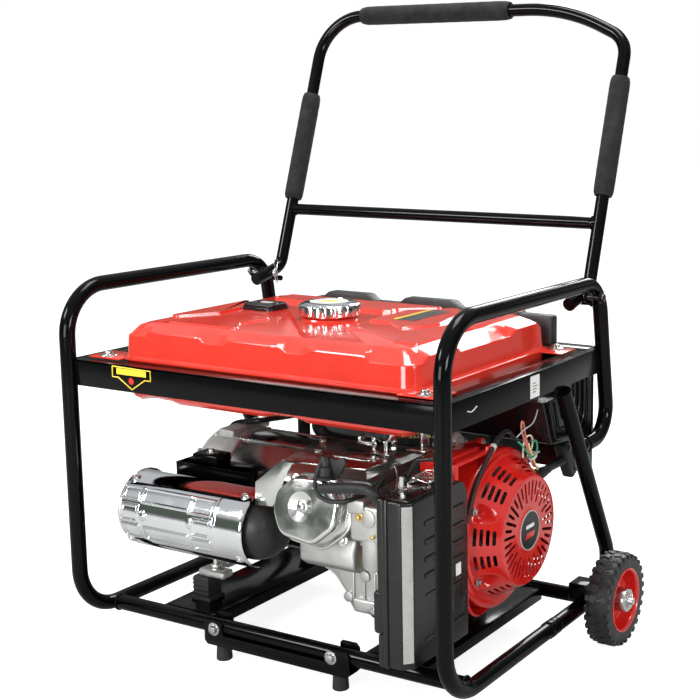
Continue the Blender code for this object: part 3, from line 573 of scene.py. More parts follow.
def handle():
    """The folding handle: its bent tube, and its cross bar with a bead at each end."""
    low, high = HANDLE_LOW, HANDLE_HIGH
    end = (0.186, 0.5605)
    x = HANDLE_X
    share = 0.06 / math.hypot(low[0] - high[0], low[1] - high[1])
    shoulder = (high[0] + (low[0] - high[0]) * share, high[1] + (low[1] - high[1]) * share)
    corners = [
        at(x, *end), at(x, *low), at(x, *shoulder), at(0.2, *high), at(-x, *high), at(-x, *low), at(-x, *end)
    ]
    bent = tube("handle_bent", rounded_path(corners, [0.03, 0.05, 0.35, 0.085, 0.03]), 0.011)
    bar = tube("handle_bar", [at(-x, 0.2958, 0.684), at(x, 0.2958, 0.684)], 0.0104)
    beads = []
    for side in (-1, 1):
        beads.append(
            lathe(
                f"bead{side}", [(0.0104, 0.002), (0.0124, 0.0), (0.0104, -0.002)],
                at(side * 0.3125, 0.2958, 0.684), (1, 0, 0), 24, False
            )
        )
    add(merged("handle_look", [bent, bar] + beads), "handle", FRAME_BLACK, ["handle_tube"])


def along_leg(x, z):
    """The place on a handle leg at this height."""
    share = (z - 0.579) / (1.048 - 0.579)
    return at(x, 0.2598 + share * (0.4207 - 0.2598), z)


def foam_grips():
    """The three padded sleeves on the handle."""
    spans = {
        "grip_top": (at(-0.236, 0.4207, 1.048), at(0.086, 0.4207, 1.048)),
        "grip_left": (along_leg(-0.324, 0.703), along_leg(-0.324, 0.899)),
        "grip_right": (along_leg(0.324, 0.729), along_leg(0.324, 0.926))
    }
    for node, (start, end) in spans.items():
        length = (end - start).length
        rings = 40
        profile = [(0.0114, 0.0), (0.015, 0.0)]
        for k in range(rings + 1):
            share = k / rings
            shoulder = 0.0022 * (math.exp(-share * 55) + math.exp(-(1 - share) * 55))
            ripple = 0.00012 * math.sin(share * 71.0)
            profile.append((0.0175 - shoulder + ripple, 0.0012 + (length - 0.0024) * share))
        profile += [(0.015, length), (0.0114, length)]
        sleeve = lathe(node + "_look", profile, start, end - start, 40, True)
        add(sleeve, "handle", FOAM, [node], 60.0)


def handle_pivots():
    """The pins, washers and nuts that the handle turns on, and an R-clip."""
    for tag, side in (("left", -1), ("right", 1)):
        def place(x):
            return at(side * x, *PIVOT)

        shank = rod("shank", place(0.305), place(0.365), 0.004, 24)
        head = rod("head", place(0.3636), place(0.37), 0.007, 6, None, 0.0009)
        washer = rod("washer", place(0.3626), place(0.3638), 0.0095, 28)
        inner = rod("inner", place(0.336), place(0.3372), 0.0095, 28)
        nut = rod("nut", place(0.3068), place(0.3122), 0.007, 6, None, 0.0009)
        piece = merged(f"handle_pivot_look_{tag}", [shank, head, washer, inner, nut])
        add(piece, "frame", BLACK_PLASTIC if tag == "right" else STEEL, [f"handle_pivot_{tag}"])
    loop = [
        at(-0.308, 0.2235, 0.548), at(-0.308, 0.2232, 0.56), at(-0.308, 0.216, 0.57), at(-0.308, 0.223, 0.578)
    ]
    loop += [
        at(-0.308, 0.22, 0.59), at(-0.308, 0.226, 0.5965), at(-0.308, 0.231, 0.59), at(-0.308, 0.2285, 0.578),
        at(-0.308, 0.2285, 0.55)
    ]
    add(tube("r_clip", smooth_path(loop), 0.0009, 4), "frame", CHROME)


def tank_frame():
    """The angle-iron ring, with plates of real thickness and rounded edges."""
    low = 0.441
    top = 0.482
    plates = [
        block("front_plate", at(-0.3371, -0.2445, low), at(0.3371, -0.2415, top), 0.0008),
        block("front_flange", at(-0.3371, -0.2445, top - 0.003), at(0.3371, -0.2095, top), 0.0008),
        block("rear_plate", at(-0.3371, 0.2605, low), at(0.3371, 0.2635, top), 0.0008),
        block("rear_flange", at(-0.3371, 0.2285, top - 0.003), at(0.3371, 0.2635, top), 0.0008)
    ]
    for side in (-1, 1):
        first = at(side * 0.3485 if side > 0 else -0.3515, -0.23, low - 0.0005)
        last = at(0.3515 if side > 0 else -0.3485, 0.247, top - 0.0005)
        plates.append(block(f"side_plate{side}", first, last, 0.0008))
        first = at(0.3165 if side > 0 else -0.3515, -0.23, top - 0.0035)
        last = at(0.3515 if side > 0 else -0.3165, 0.247, top - 0.0005)
        plates.append(block(f"side_flange{side}", first, last, 0.0008))
    add(merged("tank_frame_look", plates), "frame", FRAME_BLACK, ["tank_frame"])


def beams_and_feet():
    """The two cross beams with their welds, the foot bracket, and the front feet with their bolts."""
    for tag, low_x, high_x in (("left", -0.255, -0.145), ("right", 0.152, 0.262)):
        plates = [
            block("top", at(low_x, -0.1562, 0.056), at(high_x, 0.2132, 0.06), 0.0012),
            block("near", at(low_x, -0.1562, 0.04), at(low_x + 0.004, 0.2132, 0.06), 0.0012),
            block("far", at(high_x - 0.004, -0.1562, 0.04), at(high_x, 0.2132, 0.06), 0.0012)
        ]
        add(
            merged(f"engine_beam_look_{tag}", plates), "frame", FRAME_BLACK, [f"engine_beam_{tag}"]
        )
        for y in (-0.1555, 0.2128):
            drops = [
                rod(
                    f"d{k}", at(low_x + 0.012 + 0.0045 * k, y, 0.06), at(low_x + 0.014 + 0.0045 * k, y, 0.0612),
                    0.0026, 10
                ) for k in range(20)
            ]
            add(merged(f"beam_weld_{tag}_{'front' if y < 0 else 'rear'}", drops), "frame", FRAME_BLACK)
    left, right, ear = -0.141, 0.143, 0.036
    plates = []
    for name, y, top in (("front", -0.169 - 0.01405, 0.067), ("back", -0.169 + 0.01405, 0.072)):
        outline = [
            (left + 0.006, 0.026), (right - 0.006, 0.026), (right, 0.032), (right, top - 0.006),
            (right - 0.006, top)
        ]
        outline += [
            (right - ear + 0.004, top), (right - ear, top - 0.004), (right - ear, 0.049),
            (right - ear - 0.004, 0.045)
        ]
        outline += [
            (left + ear + 0.004, 0.045), (left + ear, 0.049), (left + ear, top - 0.004), (left + ear - 0.004, top)
        ]
        outline += [(left + 0.006, top), (left, top - 0.006), (left, 0.032)]
        plates.append(prism(name, outline, 0.0025, at(0, y, 0), (1, 0, 0), (0, 0, 1), 0.0005, 2))
    plates.append(block("floor", at(left + 0.006, -0.183, 0.0255), at(right - 0.006, -0.155, 0.0283), 0.0006))
    add(merged("foot_bracket_look", plates), "frame", FRAME_BLACK, ["foot_bracket"])
    for tag, x in (("left", -0.114), ("right", 0.116)):
        profile = [
            (0.0, 0.0252), (0.0116, 0.0252), (0.0118, 0.02), (0.0128, 0.004), (0.0128, 0.0012), (0.0118, 0.0),
            (0.0, 0.0)
        ]
        add(
            lathe(f"foot_look_{tag}", profile, at(x, -0.169, 0), (0, 0, 1), 40, False), "frame", RUBBER,
            [f"foot_{tag}"]
        )
        bolt(f"foot_bolt_{tag}", at(x - 0.006, -0.1845, 0.054), (0, -1, 0), 0.0075)


# ---------------------------------------------------------------- wheels


def wheels():
    """Both wheels: tyre, rim and hub."""
    for tag, side in (("left", -1), ("right", 1)):
        centre = at(side * WHEEL[0], WHEEL[1], WHEEL[2])
        out = (side, 0, 0)
        profile = [
            (0.0068, 0.0244), (0.015, 0.0244), (0.0178, 0.0232), (0.019, 0.02), (0.0196, 0.004),
            (0.0215, -0.0005), (0.0255, -0.003), (0.03, -0.001), (0.0345, -0.001), (0.04, -0.0045),
            (0.044, -0.0045), (0.0462, -0.001), (0.0475, 0.015), (0.0485, 0.02), (0.0505, 0.0215),
            (0.0526, 0.0212), (0.0526, 0.0198), (0.05, 0.0165), (0.05, -0.0165), (0.0522, -0.02),
            (0.0475, -0.0207), (0.045, -0.01), (0.02, -0.009), (0.017, -0.0236), (0.0068, -0.0236)
        ]
        dish = lathe(f"rim_look_{tag}", profile, centre, out, 72, True)
        add(dish, f"wheel_{tag}", RED, [f"rim_{tag}"], 45.0)
        race = lathe(
            "race",
            [
                (0.0068, 0.0246), (0.0085, 0.0252), (0.015, 0.0252), (0.0184, 0.0246), (0.0194, 0.0225),
                (0.0199, 0.006), (0.0188, 0.006), (0.0176, 0.0225)
            ],
            centre, out, 48, True
        )
        add(merged(f"bearing_{tag}", [race]), f"wheel_{tag}", STEEL)
        tread(tag, side, centre)
        axle_look(tag, side)


def tread(tag, side, centre):
    """A solid tyre: smooth carcass, and two staggered rows of blocks over the shoulders."""
    carcass = [
        (0.0755, 0.0), (0.0751, 0.013), (0.0728, 0.0182), (0.0675, 0.0207), (0.06, 0.0213), (0.0528, 0.0206),
        (0.0508, 0.0166)
    ]
    profile = carcass + [(r, -h) for r, h in carcass[:0:-1]]
    body = lathe("carcass", profile, centre, (side, 0, 0), 96, True)
    bm = bmesh.new()
    bm.from_mesh(body.data)
    bpy.data.objects.remove(body)
    count = 28
    for row in (-1, 1):
        for k in range(count):
            angle = 2 * math.pi * (k + 0.25 * row) / count
            turn = Matrix.Translation(centre) @ Matrix.Rotation(angle, 4, "X")
            for radius, x, wide, tall, deep, slant in (
                (0.0742, 0.0068 * row, 0.0125, 0.0052, 0.0115, 0.35 * row),
                (0.069, 0.0168 * row, 0.0082, 0.0115, 0.0085, 0.0)
            ):
                local = Matrix.Translation((x, 0, radius)) @ Matrix.Rotation(slant, 4, "Z")
                local = local @ Matrix.Diagonal((wide, deep, tall, 1.0))
                bmesh.ops.create_cube(bm, size=1.0, matrix=turn @ local)
    tyre = from_bmesh(bm, f"tyre_look_{tag}")
    rounding = tyre.modifiers.new("rounding", "BEVEL")
    rounding.width = 0.0009
    rounding.segments = 2
    rounding.angle_limit = 0.6
    add(tyre, f"wheel_{tag}", TYRE, [f"tyre_{tag}"])


def axle_look(tag, side):
    """The stub axle at one end, with its saddle, collar, washer and cotter pin."""
    def place(x):
        return at(side * x, WHEEL[1], WHEEL[2])

    saddle = block(
        "saddle", at(side * 0.3326 if side > 0 else -0.3674, 0.172, 0.0662),
        at(0.3674 if side > 0 else -0.3326, 0.212, 0.096), 0.0025
    )
    shaft = rod("shaft", place(0.35), place(0.443), 0.006, 28, None, 0.0008)
    collar = rod("collar", place(0.366), place(0.3846), 0.011, 32, None, 0.0008)
    add(merged(f"axle_saddle_{tag}", [saddle]), "frame", FRAME_BLACK, [f"axle_{tag}"])
    washer = rod("end_washer", place(0.4337), place(0.4352), 0.0112, 32)
    add(merged(f"axle_shaft_{tag}", [shaft, collar, washer]), "frame", STEEL)
    pin = tube(
        "cotter_loop",
        smooth_path(
            [
                place(0.4385) + Vector((0, dy, dz)) for dy,
                dz in (
                    (0.002, -0.012), (0.0012, 0.004), (0.004, 0.011), (0.0, 0.014), (-0.004, 0.011),
                    (-0.0012, 0.004), (-0.004, -0.012)
                )
            ]
        ),
        0.0008, 4
    )
    add(pin, "frame", STEEL)
    pin.name = f"cotter_pin_{tag}"


# ---------------------------------------------------------------- tank


def ring_of(half_x, half_y, radius, centre, z, per_side=60, corner=10):
    """A rounded rectangle as a ring of points, the same count for every size."""
    points = []
    for quarter in range(4):
        angle0 = math.pi / 2 * quarter
        sx = (1, -1, -1, 1)[quarter]
        sy = (1, 1, -1, -1)[quarter]
        for k in range(corner):
            angle = angle0 + math.pi / 2 * k / corner
            x = sx * (half_x - radius) + radius * math.cos(angle)
            y = sy * (half_y - radius) + radius * math.sin(angle)
            points.append((x, y))
        nx = (-1, -1, 1, 1)[quarter]
        ny = (1, -1, -1, 1)[quarter]
        end_angle = angle0 + math.pi / 2
        start = (
            sx * (half_x - radius) + radius * math.cos(end_angle),
            sy * (half_y - radius) + radius * math.sin(end_angle)
        )
        stop = (
            nx * (half_x - radius) + radius * math.cos(end_angle),
            ny * (half_y - radius) + radius * math.sin(end_angle)
        )
        for k in range(per_side):
            share = k / per_side
            points.append((start[0] + (stop[0] - start[0]) * share, start[1] + (stop[1] - start[1]) * share))
    return [Vector((centre[0] + x, centre[1] + y, z)) for x, y in points]


def step_wave(value, period, low, high, slope):
    """0 outside and 1 inside a notch that repeats every period, with sloping sides."""
    place = value % period
    rise = (place - low) / slope
    fall = (high - place) / slope
    return max(0.0, min(1.0, rise, fall))


def tank():
    """The two pressed shells, their seam flange and the stepped, creased shoulder."""
    centre = at(0.005, -0.0065, 0)
    half_x, half_y = 0.277, 0.2015
    steps_x = ((-0.29, -0.207), (-0.1125, -0.052), (0.043, 0.1015), (0.196, 0.3))
    steps_y = ((-0.3, -0.165), (-0.085, 0.09), (0.165, 0.3))

    def notch(point, share):
        """1 in the low steps of the shoulder and 0 on its high ones; share runs inwards."""
        along_x = half_y - abs(point.y - centre.y) < half_x - abs(point.x - centre.x)
        value = point.x if along_x else point.y + CENTRE_Y
        lowest = 0.0
        for low, high in steps_x if along_x else steps_y:
            lean = 0.036 * share
            lowest = max(lowest, min(1.0, (value - low + lean * 0.3) / 0.0085, (high - lean - value) / 0.013))
        return max(0.0, lowest)

    rows = []
    for inset, z, depth, share in (
        (-0.004, 0.4866, 0.0, 0.0), (-0.0012, 0.4874, 0.0, 0.0), (0.0006, 0.49, 0.0, 0.0),
        (0.0016, 0.5, 0.0, 0.0), (0.0024, 0.518, -0.002, 0.0), (0.003, 0.5286, -0.0078, 0.0),
        (0.004, 0.5304, -0.008, 0.0), (0.0058, 0.5314, -0.0078, 0.05), (0.017, 0.5362, -0.0046, 0.5),
        (0.0275, 0.54, -0.0014, 0.95), (0.03, 0.5407, -0.0006, 1.0), (0.033, 0.541, 0.0, 1.0)
    ):
        ring = ring_of(half_x - inset, half_y - inset, 0.025 - inset * 0.4, centre, z)
        rows.append([p + Vector((0, 0, depth * notch(p, share))) for p in ring])
    upper = skinned(rows, "tank_upper")

    def dent(point):
        return step_wave(point.x + 0.275, 0.25, 0.03, 0.11, 0.02)

    rows = []
    for inset, z, depth in (
        (0.0, 0.484, 0.0), (0.001, 0.46, 0.0), (0.002, 0.437, 0.001), (0.006, 0.424, 0.003),
        (0.014, 0.4175, 0.005), (0.03, 0.4155, 0.003)
    ):
        ring = ring_of(half_x - inset, half_y - inset, 0.026 - inset * 0.4, centre, z)
        rows.append([p + Vector((0, 0, depth * dent(p))) for p in ring])
    lower = skinned(rows, "tank_lower")

    bm = bmesh.new()
    rows = [
        ring_of(half_x - 0.004, half_y - 0.004, 0.026, centre, 0.4868),
        ring_of(half_x + 0.0065, half_y + 0.0035, 0.03, centre, 0.4868),
        ring_of(half_x + 0.0072, half_y + 0.004, 0.03, centre, 0.486),
        ring_of(half_x + 0.0072, half_y + 0.004, 0.03, centre, 0.4838),
        ring_of(half_x + 0.0065, half_y + 0.0035, 0.03, centre, 0.483),
        ring_of(half_x - 0.004, half_y - 0.004, 0.026, centre, 0.483)
    ]
    rings = [[bm.verts.new(p) for p in row] for row in rows]
    for low, high in zip(rings, rings[1:] + rings[:1]):
        for k in range(len(low)):
            j = (k + 1) % len(low)
            bm.faces.new((low[k], low[j], high[j], high[k]))
    flange = from_bmesh(bm, "tank_flange")
    parts = [upper, lower, flange] + tank_pads() + tank_tabs() + [filler_neck()]
    add(merged("tank_look", parts), "frame", TANK_RED, ["fuel_tank"], 20.0)
    for side in (-1, 1):
        for y in (-0.207, 0.19):
            tag = f"{side}_{'front' if y < 0 else 'rear'}"
            place = at(side * 0.299, y, 0.4862)
            washer = lathe(
                "washer", [(0.0, 0.0022), (0.006, 0.0022), (0.013, 0.0012), (0.0138, 0.0)], place, (0, 0, 1), 36,
                False
            )
            add(merged(f"tank_washer_{tag}", [washer]), "frame", ZINC)
            bolt(f"tank_bolt_{tag}", place + Vector((0, 0, 0.0016)), (0, 0, 1), 0.0062)


def skinned(rows, name):
    """A skin over rows of points, closed by a face at the last row."""
    bm = bmesh.new()
    rings = [[bm.verts.new(p) for p in row] for row in rows]
    for low, high in zip(rings, rings[1:]):
        for k in range(len(low)):
            j = (k + 1) % len(low)
            bm.faces.new((low[k], low[j], high[j], high[k]))
    bm.faces.new(rings[-1])
    return from_bmesh(bm, name)


def raised(name, outline, height, slope=0.0036):
    """A pressed pad standing on the tank's top, with sloping sides."""
    pad = prism(name, outline, height + 0.006, at(0, 0, 0.541 + height / 2 - 0.003), (1, 0, 0), (0, 1, 0))
    pad = bevelled(pad, slope, 1)
    return pad


def tank_pads():
    """The low raised pads on the top of the tank."""
    pads = [
        [(-0.246, -0.128), (-0.232, -0.118), (-0.195, -0.058), (-0.2, 0.0), (-0.24, 0.064), (-0.246, 0.064)],
        [
            (-0.205, -0.172), (-0.06, -0.172), (-0.092, -0.13), (-0.086, -0.062), (-0.15, -0.05),
            (-0.168, -0.084), (-0.21, -0.14)
        ],
        [
            (-0.225, 0.112), (0.028, 0.082), (0.044, 0.092), (0.04, 0.112), (0.098, 0.15), (0.098, 0.168),
            (-0.225, 0.166)
        ],
        [
            (0.061, -0.007), (0.1, -0.006), (0.15, -0.046), (0.172, -0.014), (0.184, 0.02), (0.168, 0.09),
            (0.134, 0.163), (0.11, 0.163), (0.104, 0.14), (0.061, 0.11)
        ],
        [
            (0.206, -0.15), (0.252, -0.15), (0.252, 0.15), (0.196, 0.15), (0.186, 0.11), (0.206, 0.03),
            (0.176, -0.066)
        ]
    ]
    return [raised(f"pad{k}", rounded_outline(corners, 0.008, 4), 0.0026) for k, corners in enumerate(pads)]


def tank_tabs():
    """The bolted corner tabs that hold the tank to its frame."""
    tabs = []
    for side in (-1, 1):
        for y in (-0.196, 0.18):
            low = at(0.262 if side > 0 else -0.328, y - 0.026, 0.4832)
            high = at(0.328 if side > 0 else -0.262, y + 0.026, 0.4858)
            tabs.append(block(f"tab{side}{y}", low, high, 0.001))
    return tabs


def filler_neck():
    """The neck that the cap closes."""
    profile = [
        (0.047, 0.0), (0.046, 0.0024), (0.0385, 0.0042), (0.038, 0.014), (0.03, 0.0145), (0.03, -0.03),
        (0.0, -0.03)
    ]
    return lathe("neck", profile, at(*FILLER, 0.5406), (0, 0, 1), 64, False)


def fuel_cap():
    """A chromed cap with a scalloped grip edge, a rolled rim and a shallow dished top."""
    bm = bmesh.new()
    steps = 144
    centre = at(*FILLER, 0.5475)
    rows = (
        (0.0394, 0.0091, 0.0), (0.0394, 0.0002, 0.0), (0.0485, 0.0, 0.001), (0.0494, 0.001, 0.0022),
        (0.0494, 0.0155, 0.0022), (0.0488, 0.0168, 0.0018), (0.045, 0.0186, 0.0006), (0.04, 0.0204, 0.0),
        (0.033, 0.0212, 0.0), (0.0325, 0.02, 0.0), (0.031, 0.0198, 0.0)
    )
    rings = []
    for radius, z, scallop in rows:
        ring = []
        for k in range(steps):
            angle = 2 * math.pi * k / steps
            r = radius - scallop * max(0.0, math.cos(angle * 16)) ** 2
            ring.append(bm.verts.new(centre + Vector((r * math.cos(angle), r * math.sin(angle), z))))
        rings.append(ring)
    for low, high in zip(rings, rings[1:]):
        for k in range(steps):
            bm.faces.new((low[k], low[(k + 1) % steps], high[(k + 1) % steps], high[k]))
    bm.faces.new(rings[-1])
    bm.faces.new(rings[0][::-1])
    add(from_bmesh(bm, "fuel_cap_look"), "cap", CHROME, ["fuel_cap"], 40.0)
    disc = lathe(
        "disc", [(0.0, 0.0), (0.03, 0.0), (0.0305, -0.0008)], centre + Vector((0, 0, 0.0206)), (0, 0, 1), 64,
        False
    )
    add(merged("cap_sticker", [disc]), "cap", WHITE)
    band = [
        prism(
            "flash", [(-0.016, -0.01), (0.004, -0.006), (0.018, 0.01), (-0.002, 0.006)], 0.0004,
            centre + Vector((0, 0, 0.0208)), (1, 0, 0), (0, 1, 0)
        )
    ]
    add(merged("cap_flash", band), "cap", YELLOW)


def gauge():
    """The level gauge: a low black housing, its window, its marks and its screws."""
    place = at(-0.165, 0.02, 0.5443)
    turn = (0, 0, 1)
    shell = prism(
        "shell", rounded_rectangle(0.062, 0.05, 0.01), 0.0066, place + Vector((0, 0, 0.0033)), (1, 0, 0),
        (0, 1, 0), 0.0018, 3
    )
    rim_piece = lathe(
        "rim", [(0.0215, 0.0), (0.0215, 0.0004), (0.019, 0.0008), (0.018, 0.0002)],
        place + Vector((0, 0, 0.0066)), turn, 48, False
    )
    foot = prism(
        "foot", rounded_rectangle(0.066, 0.054, 0.011), 0.008, place - Vector((0, 0, 0.003)), (1, 0, 0),
        (0, 1, 0), 0.001, 2
    )
    add(merged("gauge_look", [shell, rim_piece, foot]), "frame", BLACK_PLASTIC, ["fuel_gauge"])
    window = prism(
        "window", rounded_rectangle(0.024, 0.01, 0.003), 0.0005, place + Vector((0, 0.004, 0.0068)), (1, 0, 0),
        (0, 1, 0)
    )
    add(merged("gauge_window", [window]), "frame", PALE_PLASTIC)
    marks = [
        block(
            f"mark{k}", place + Vector((-0.01 + 0.005 * k, 0.001, 0.0071)),
            place + Vector((-0.0094 + 0.005 * k, 0.006, 0.0073))
        ) for k in range(5)
    ]
    add(merged("gauge_marks", marks), "frame", RED)
    for k, x in enumerate((-0.026, 0.026)):
        bolt(f"gauge_screw_{k}", place + Vector((x, 0, 0.0066)), (0, 0, 1), 0.0022, False)


def tank_trim():
    """The black moulded trim along the back of the tank."""
    low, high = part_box("tank_trim")
    middle = (low + high) / 2
    strip = block("strip", (low.x, low.y, low.z), (high.x, high.y, 0.537), 0.005)
    humps = []
    for k, (x, half) in enumerate(((-0.125, 0.06), (0.045, 0.065), (0.185, 0.045))):
        outline = [
            (x - half, 0.49), (x + half, 0.49), (x + half, 0.535), (x + half - 0.018, 0.548),
            (x - half + 0.018, 0.548), (x - half, 0.535)
        ]
        hump = prism(f"hump{k}", outline, high.y - low.y, (0, middle.y, 0), (1, 0, 0), (0, 0, 1), 0.003)
        humps.append(hump)
    add(merged("tank_trim_look", [strip] + humps), "frame", DULL_PLASTIC, ["tank_trim"])


def decals():
    """Generic marks, with no lettering: an arrow on the front rail, small labels."""
    y = -0.2445 - 0.0003
    outline = [
        (-0.253, 0.481), (-0.174, 0.48), (-0.174, 0.4645), (-0.186, 0.4645), (-0.213, 0.4475), (-0.241, 0.4645),
        (-0.253, 0.4645)
    ]
    loop = [at(x, y, z - 0.0015) for x, z in outline]
    add(tube("arrow_decal", loop + [loop[0]], 0.0011, 2), "frame", YELLOW)
    bar = block("bar", at(-0.244, y - 0.0005, 0.468), at(-0.183, y, 0.4775))
    add(merged("arrow_decal_bar", [bar]), "frame", YELLOW)
    dot = rod("dot", at(-0.214, y, 0.459), at(-0.214, y - 0.0006, 0.459), 0.0052, 24)
    add(merged("arrow_decal_dot", [dot]), "frame", RED)
    tag = prism(
        "tag", rounded_rectangle(0.029, 0.034, 0.001), 0.0005, at(0.3518, 0.017, 0.4605), (0, 1, 0), (0, 0, 1)
    )
    add(merged("side_label", [tag]), "frame", WHITE)
    lines = [
        block(
            f"line{k}", at(0.35175, 0.01, 0.452 + 0.0045 * k),
            at(0.3523, 0.019 + 0.003 * (k % 3), 0.453 + 0.0045 * k)
        ) for k in range(4)
    ]
    add(merged("side_label_lines", lines), "frame", FRAME_BLACK)
    arrow = tube(
        "lever_arrow",
        smooth_path([at(0.3519, -0.182, 0.463), at(0.3519, -0.17, 0.46), at(0.3519, -0.156, 0.465)]), 0.0009, 3
    )
    add(arrow, "frame", WHITE)
    sheet = prism(
        "sheet", rounded_rectangle(0.042, 0.11, 0.002), 0.0004, at(0.116, 0.07, 0.5438), (1, 0, 0), (0, 1, 0)
    )
    add(merged("tank_label", [sheet]), "frame", DULL_PLASTIC)
    bar = prism(
        "bar", rounded_rectangle(0.008, 0.108, 0.001), 0.0004, at(0.1, 0.07, 0.5441), (1, 0, 0), (0, 1, 0)
    )
    add(merged("tank_label_band", [bar]), "frame", YELLOW)


# ---------------------------------------------------------------- starter and blower


def spoke(angle):
    """The direction across the crankshaft at an angle, in degrees, up from -Y."""
    return Vector((0.0, -math.cos(math.radians(angle)), math.sin(math.radians(angle))))


def crank(x):
    """The place on the crankshaft axis at this X."""
    return at(x, CRANK_Y, CRANK_Z)


def stadium(bm, centre, along, across, length, width, depth, steps=6):
    """Adds a round-ended bar to a mesh: the tool that presses one slot."""
    along = Vector(along).normalized()
    across = Vector(across).normalized()
    out = along.cross(across)
    half = (length - width) / 2
    outline = []
    for end in (1, -1):
        for k in range(steps + 1):
            angle = -math.pi / 2 + math.pi * k / steps
            u = end * (half + width / 2 * math.cos(angle))
            outline.append(along * u + across * (end * width / 2 * math.sin(angle)))
    top = [bm.verts.new(centre + p + out * depth / 2) for p in outline]
    low = [bm.verts.new(centre + p - out * depth / 2) for p in outline]
    bm.faces.new(top)
    bm.faces.new(low[::-1])
    for k in range(len(top)):
        j = (k + 1) % len(top)
        bm.faces.new((top[j], top[k], low[k], low[j]))


def applied(obj):
    """Turns a piece's modifiers into its mesh."""
    if obj.name not in bpy.context.scene.collection.objects:
        bpy.context.scene.collection.objects.link(obj)
    graph = bpy.context.evaluated_depsgraph_get()
    mesh = bpy.data.meshes.new_from_object(obj.evaluated_get(graph))
    obj.modifiers.clear()
    obj.data = mesh
    return obj


def sheet_metal(bm, name, facing, thickness):
    """A surface given a thickness on the side away from facing."""
    obj = from_bmesh(bm, name)
    total = sum((p.normal * p.area for p in obj.data.polygons), Vector())
    if total.dot(Vector(facing)) < 0:
        obj.data.flip_normals()
    wall = obj.modifiers.new("wall", "SOLIDIFY")
    wall.thickness = thickness
    wall.offset = -1.0
    return applied(obj)


EARS = (27.0, -37.0, 143.0, 207.0)


def starter_shell():
    """The dished starter cover, whose sloping side sinks into a seat at each bolt."""
    outline = [
        (0.0325, 0.3256), (0.0345, 0.3247), (0.04, 0.3246), (0.062, 0.3246), (0.0825, 0.3246), (0.086, 0.3238),
        (0.0885, 0.3205)
    ]
    outline += [(0.0885 + 0.00098 * k, 0.3205 - 0.00169 * k) for k in range(1, 25)]
    outline += [(0.113, 0.2796), (0.115, 0.2794), (0.117, 0.2785), (0.1176, 0.2757)]
    steps = 288
    ears = [spoke(a) * 0.1075 for a in EARS]
    bm = bmesh.new()
    rings = []
    for radius, x in outline:
        ring = []
        for k in range(steps):
            place = spoke(360.0 * k / steps) * radius
            near = min((place - ear).length for ear in ears)
            sink = max(0.0, min(1.0, (0.015 - near) / 0.003))
            sink = sink * sink * (3 - 2 * sink)
            depth = x + (min(x, 0.2826) - x) * sink
            ring.append(bm.verts.new(crank(depth) + place))
        rings.append(ring)
    bm.faces.new(rings[0])
    for low, high in zip(rings, rings[1:]):
        for k in range(steps):
            j = (k + 1) % steps
            bm.faces.new((low[k], low[j], high[j], high[k]))
    return sheet_metal(bm, "starter_shell", (1, 0, 0), 0.0018)


def recoil_cover_look():
    """The starter cover: pierced shell, ears, screws and its round label."""
    shell = starter_shell()
    bm = bmesh.new()
    ahead = Vector((1, 0, 0))
    for k in range(38):
        turn = spoke(360.0 / 38 * k + 4.5)
        low, high = ((0.045, 0.08), (0.056, 0.0785))[k % 2]
        stadium(bm, crank(0.324) + turn * (low + high) / 2, turn, turn.cross(ahead), high - low, 0.005, 0.012)
    for angle, span in (
        (7, 0.027), (-16, 0.024), (-59, 0.026), (47, 0.027), (69, 0.027), (103, 0.027), (165, 0.027),
        (186, 0.024), (229, 0.026), (251, 0.027), (274, 0.024)
    ):
        turn = spoke(angle)
        fall = (turn * 0.0235 - ahead * 0.0405).normalized()
        for k in range(4):
            place = crank(0.3205) + turn * 0.0885 + fall * (0.0075 + 0.01 * k)
            stadium(bm, place, turn.cross(ahead), fall, span * (0.84 + 0.07 * k), 0.0056, 0.014)
    shell = cut_with(shell, [from_bmesh(bm, "slots")])
    post = lathe("post", [(0.0075, 0.3235), (0.0075, 0.2795), (0.0, 0.2795)], crank(0), ahead, 32, False)
    add(merged("recoil_cover_look", [shell, post]), "frame", RED, ["recoil_cover"])
    label = lathe("label", [(0.0, 0.3263), (0.03, 0.3263), (0.0304, 0.3256)], crank(0), ahead, 72, False)
    add(merged("starter_label", [label]), "frame", BLACK_PLASTIC)
    ring = lathe(
        "ring", [(0.03, 0.3257), (0.0302, 0.3266), (0.0313, 0.3266), (0.0316, 0.3256)], crank(0), ahead, 72, False
    )
    add(merged("starter_label_ring", [ring]), "frame", PALE_PLASTIC)
    mark = [
        prism(
            "m", rounded_rectangle(0.026, 0.006, 0.002), 0.0004, crank(0.3265) + Vector((0, 0, 0.007)), (0, 1, 0),
            (0, 0, 1)
        )
    ]
    add(merged("starter_label_bar", mark), "frame", WHITE)
    mark = [
        prism(
            "m", [(-0.017, -0.012), (0.011, -0.012), (0.017, -0.003), (-0.011, -0.003)], 0.0004, crank(0.3265),
            (0, 1, 0), (0, 0, 1)
        )
    ]
    add(merged("starter_label_flash", mark), "frame", RED)
    for k, angle in enumerate(EARS):
        bolt(f"starter_bolt_{k}", crank(0.2826) + spoke(angle) * 0.1075, ahead, 0.0052)
    guide = lathe(
        "guide",
        [
            (0.0028, 0.129), (0.01, 0.129), (0.0108, 0.134), (0.01, 0.15), (0.0086, 0.166), (0.0078, 0.17),
            (0.0028, 0.17)
        ],
        at(0.29, 0, 0.2825), (0, 1, 0), 32, True
    )
    add(merged("rope_guide", [guide]), "frame", RUBBER)


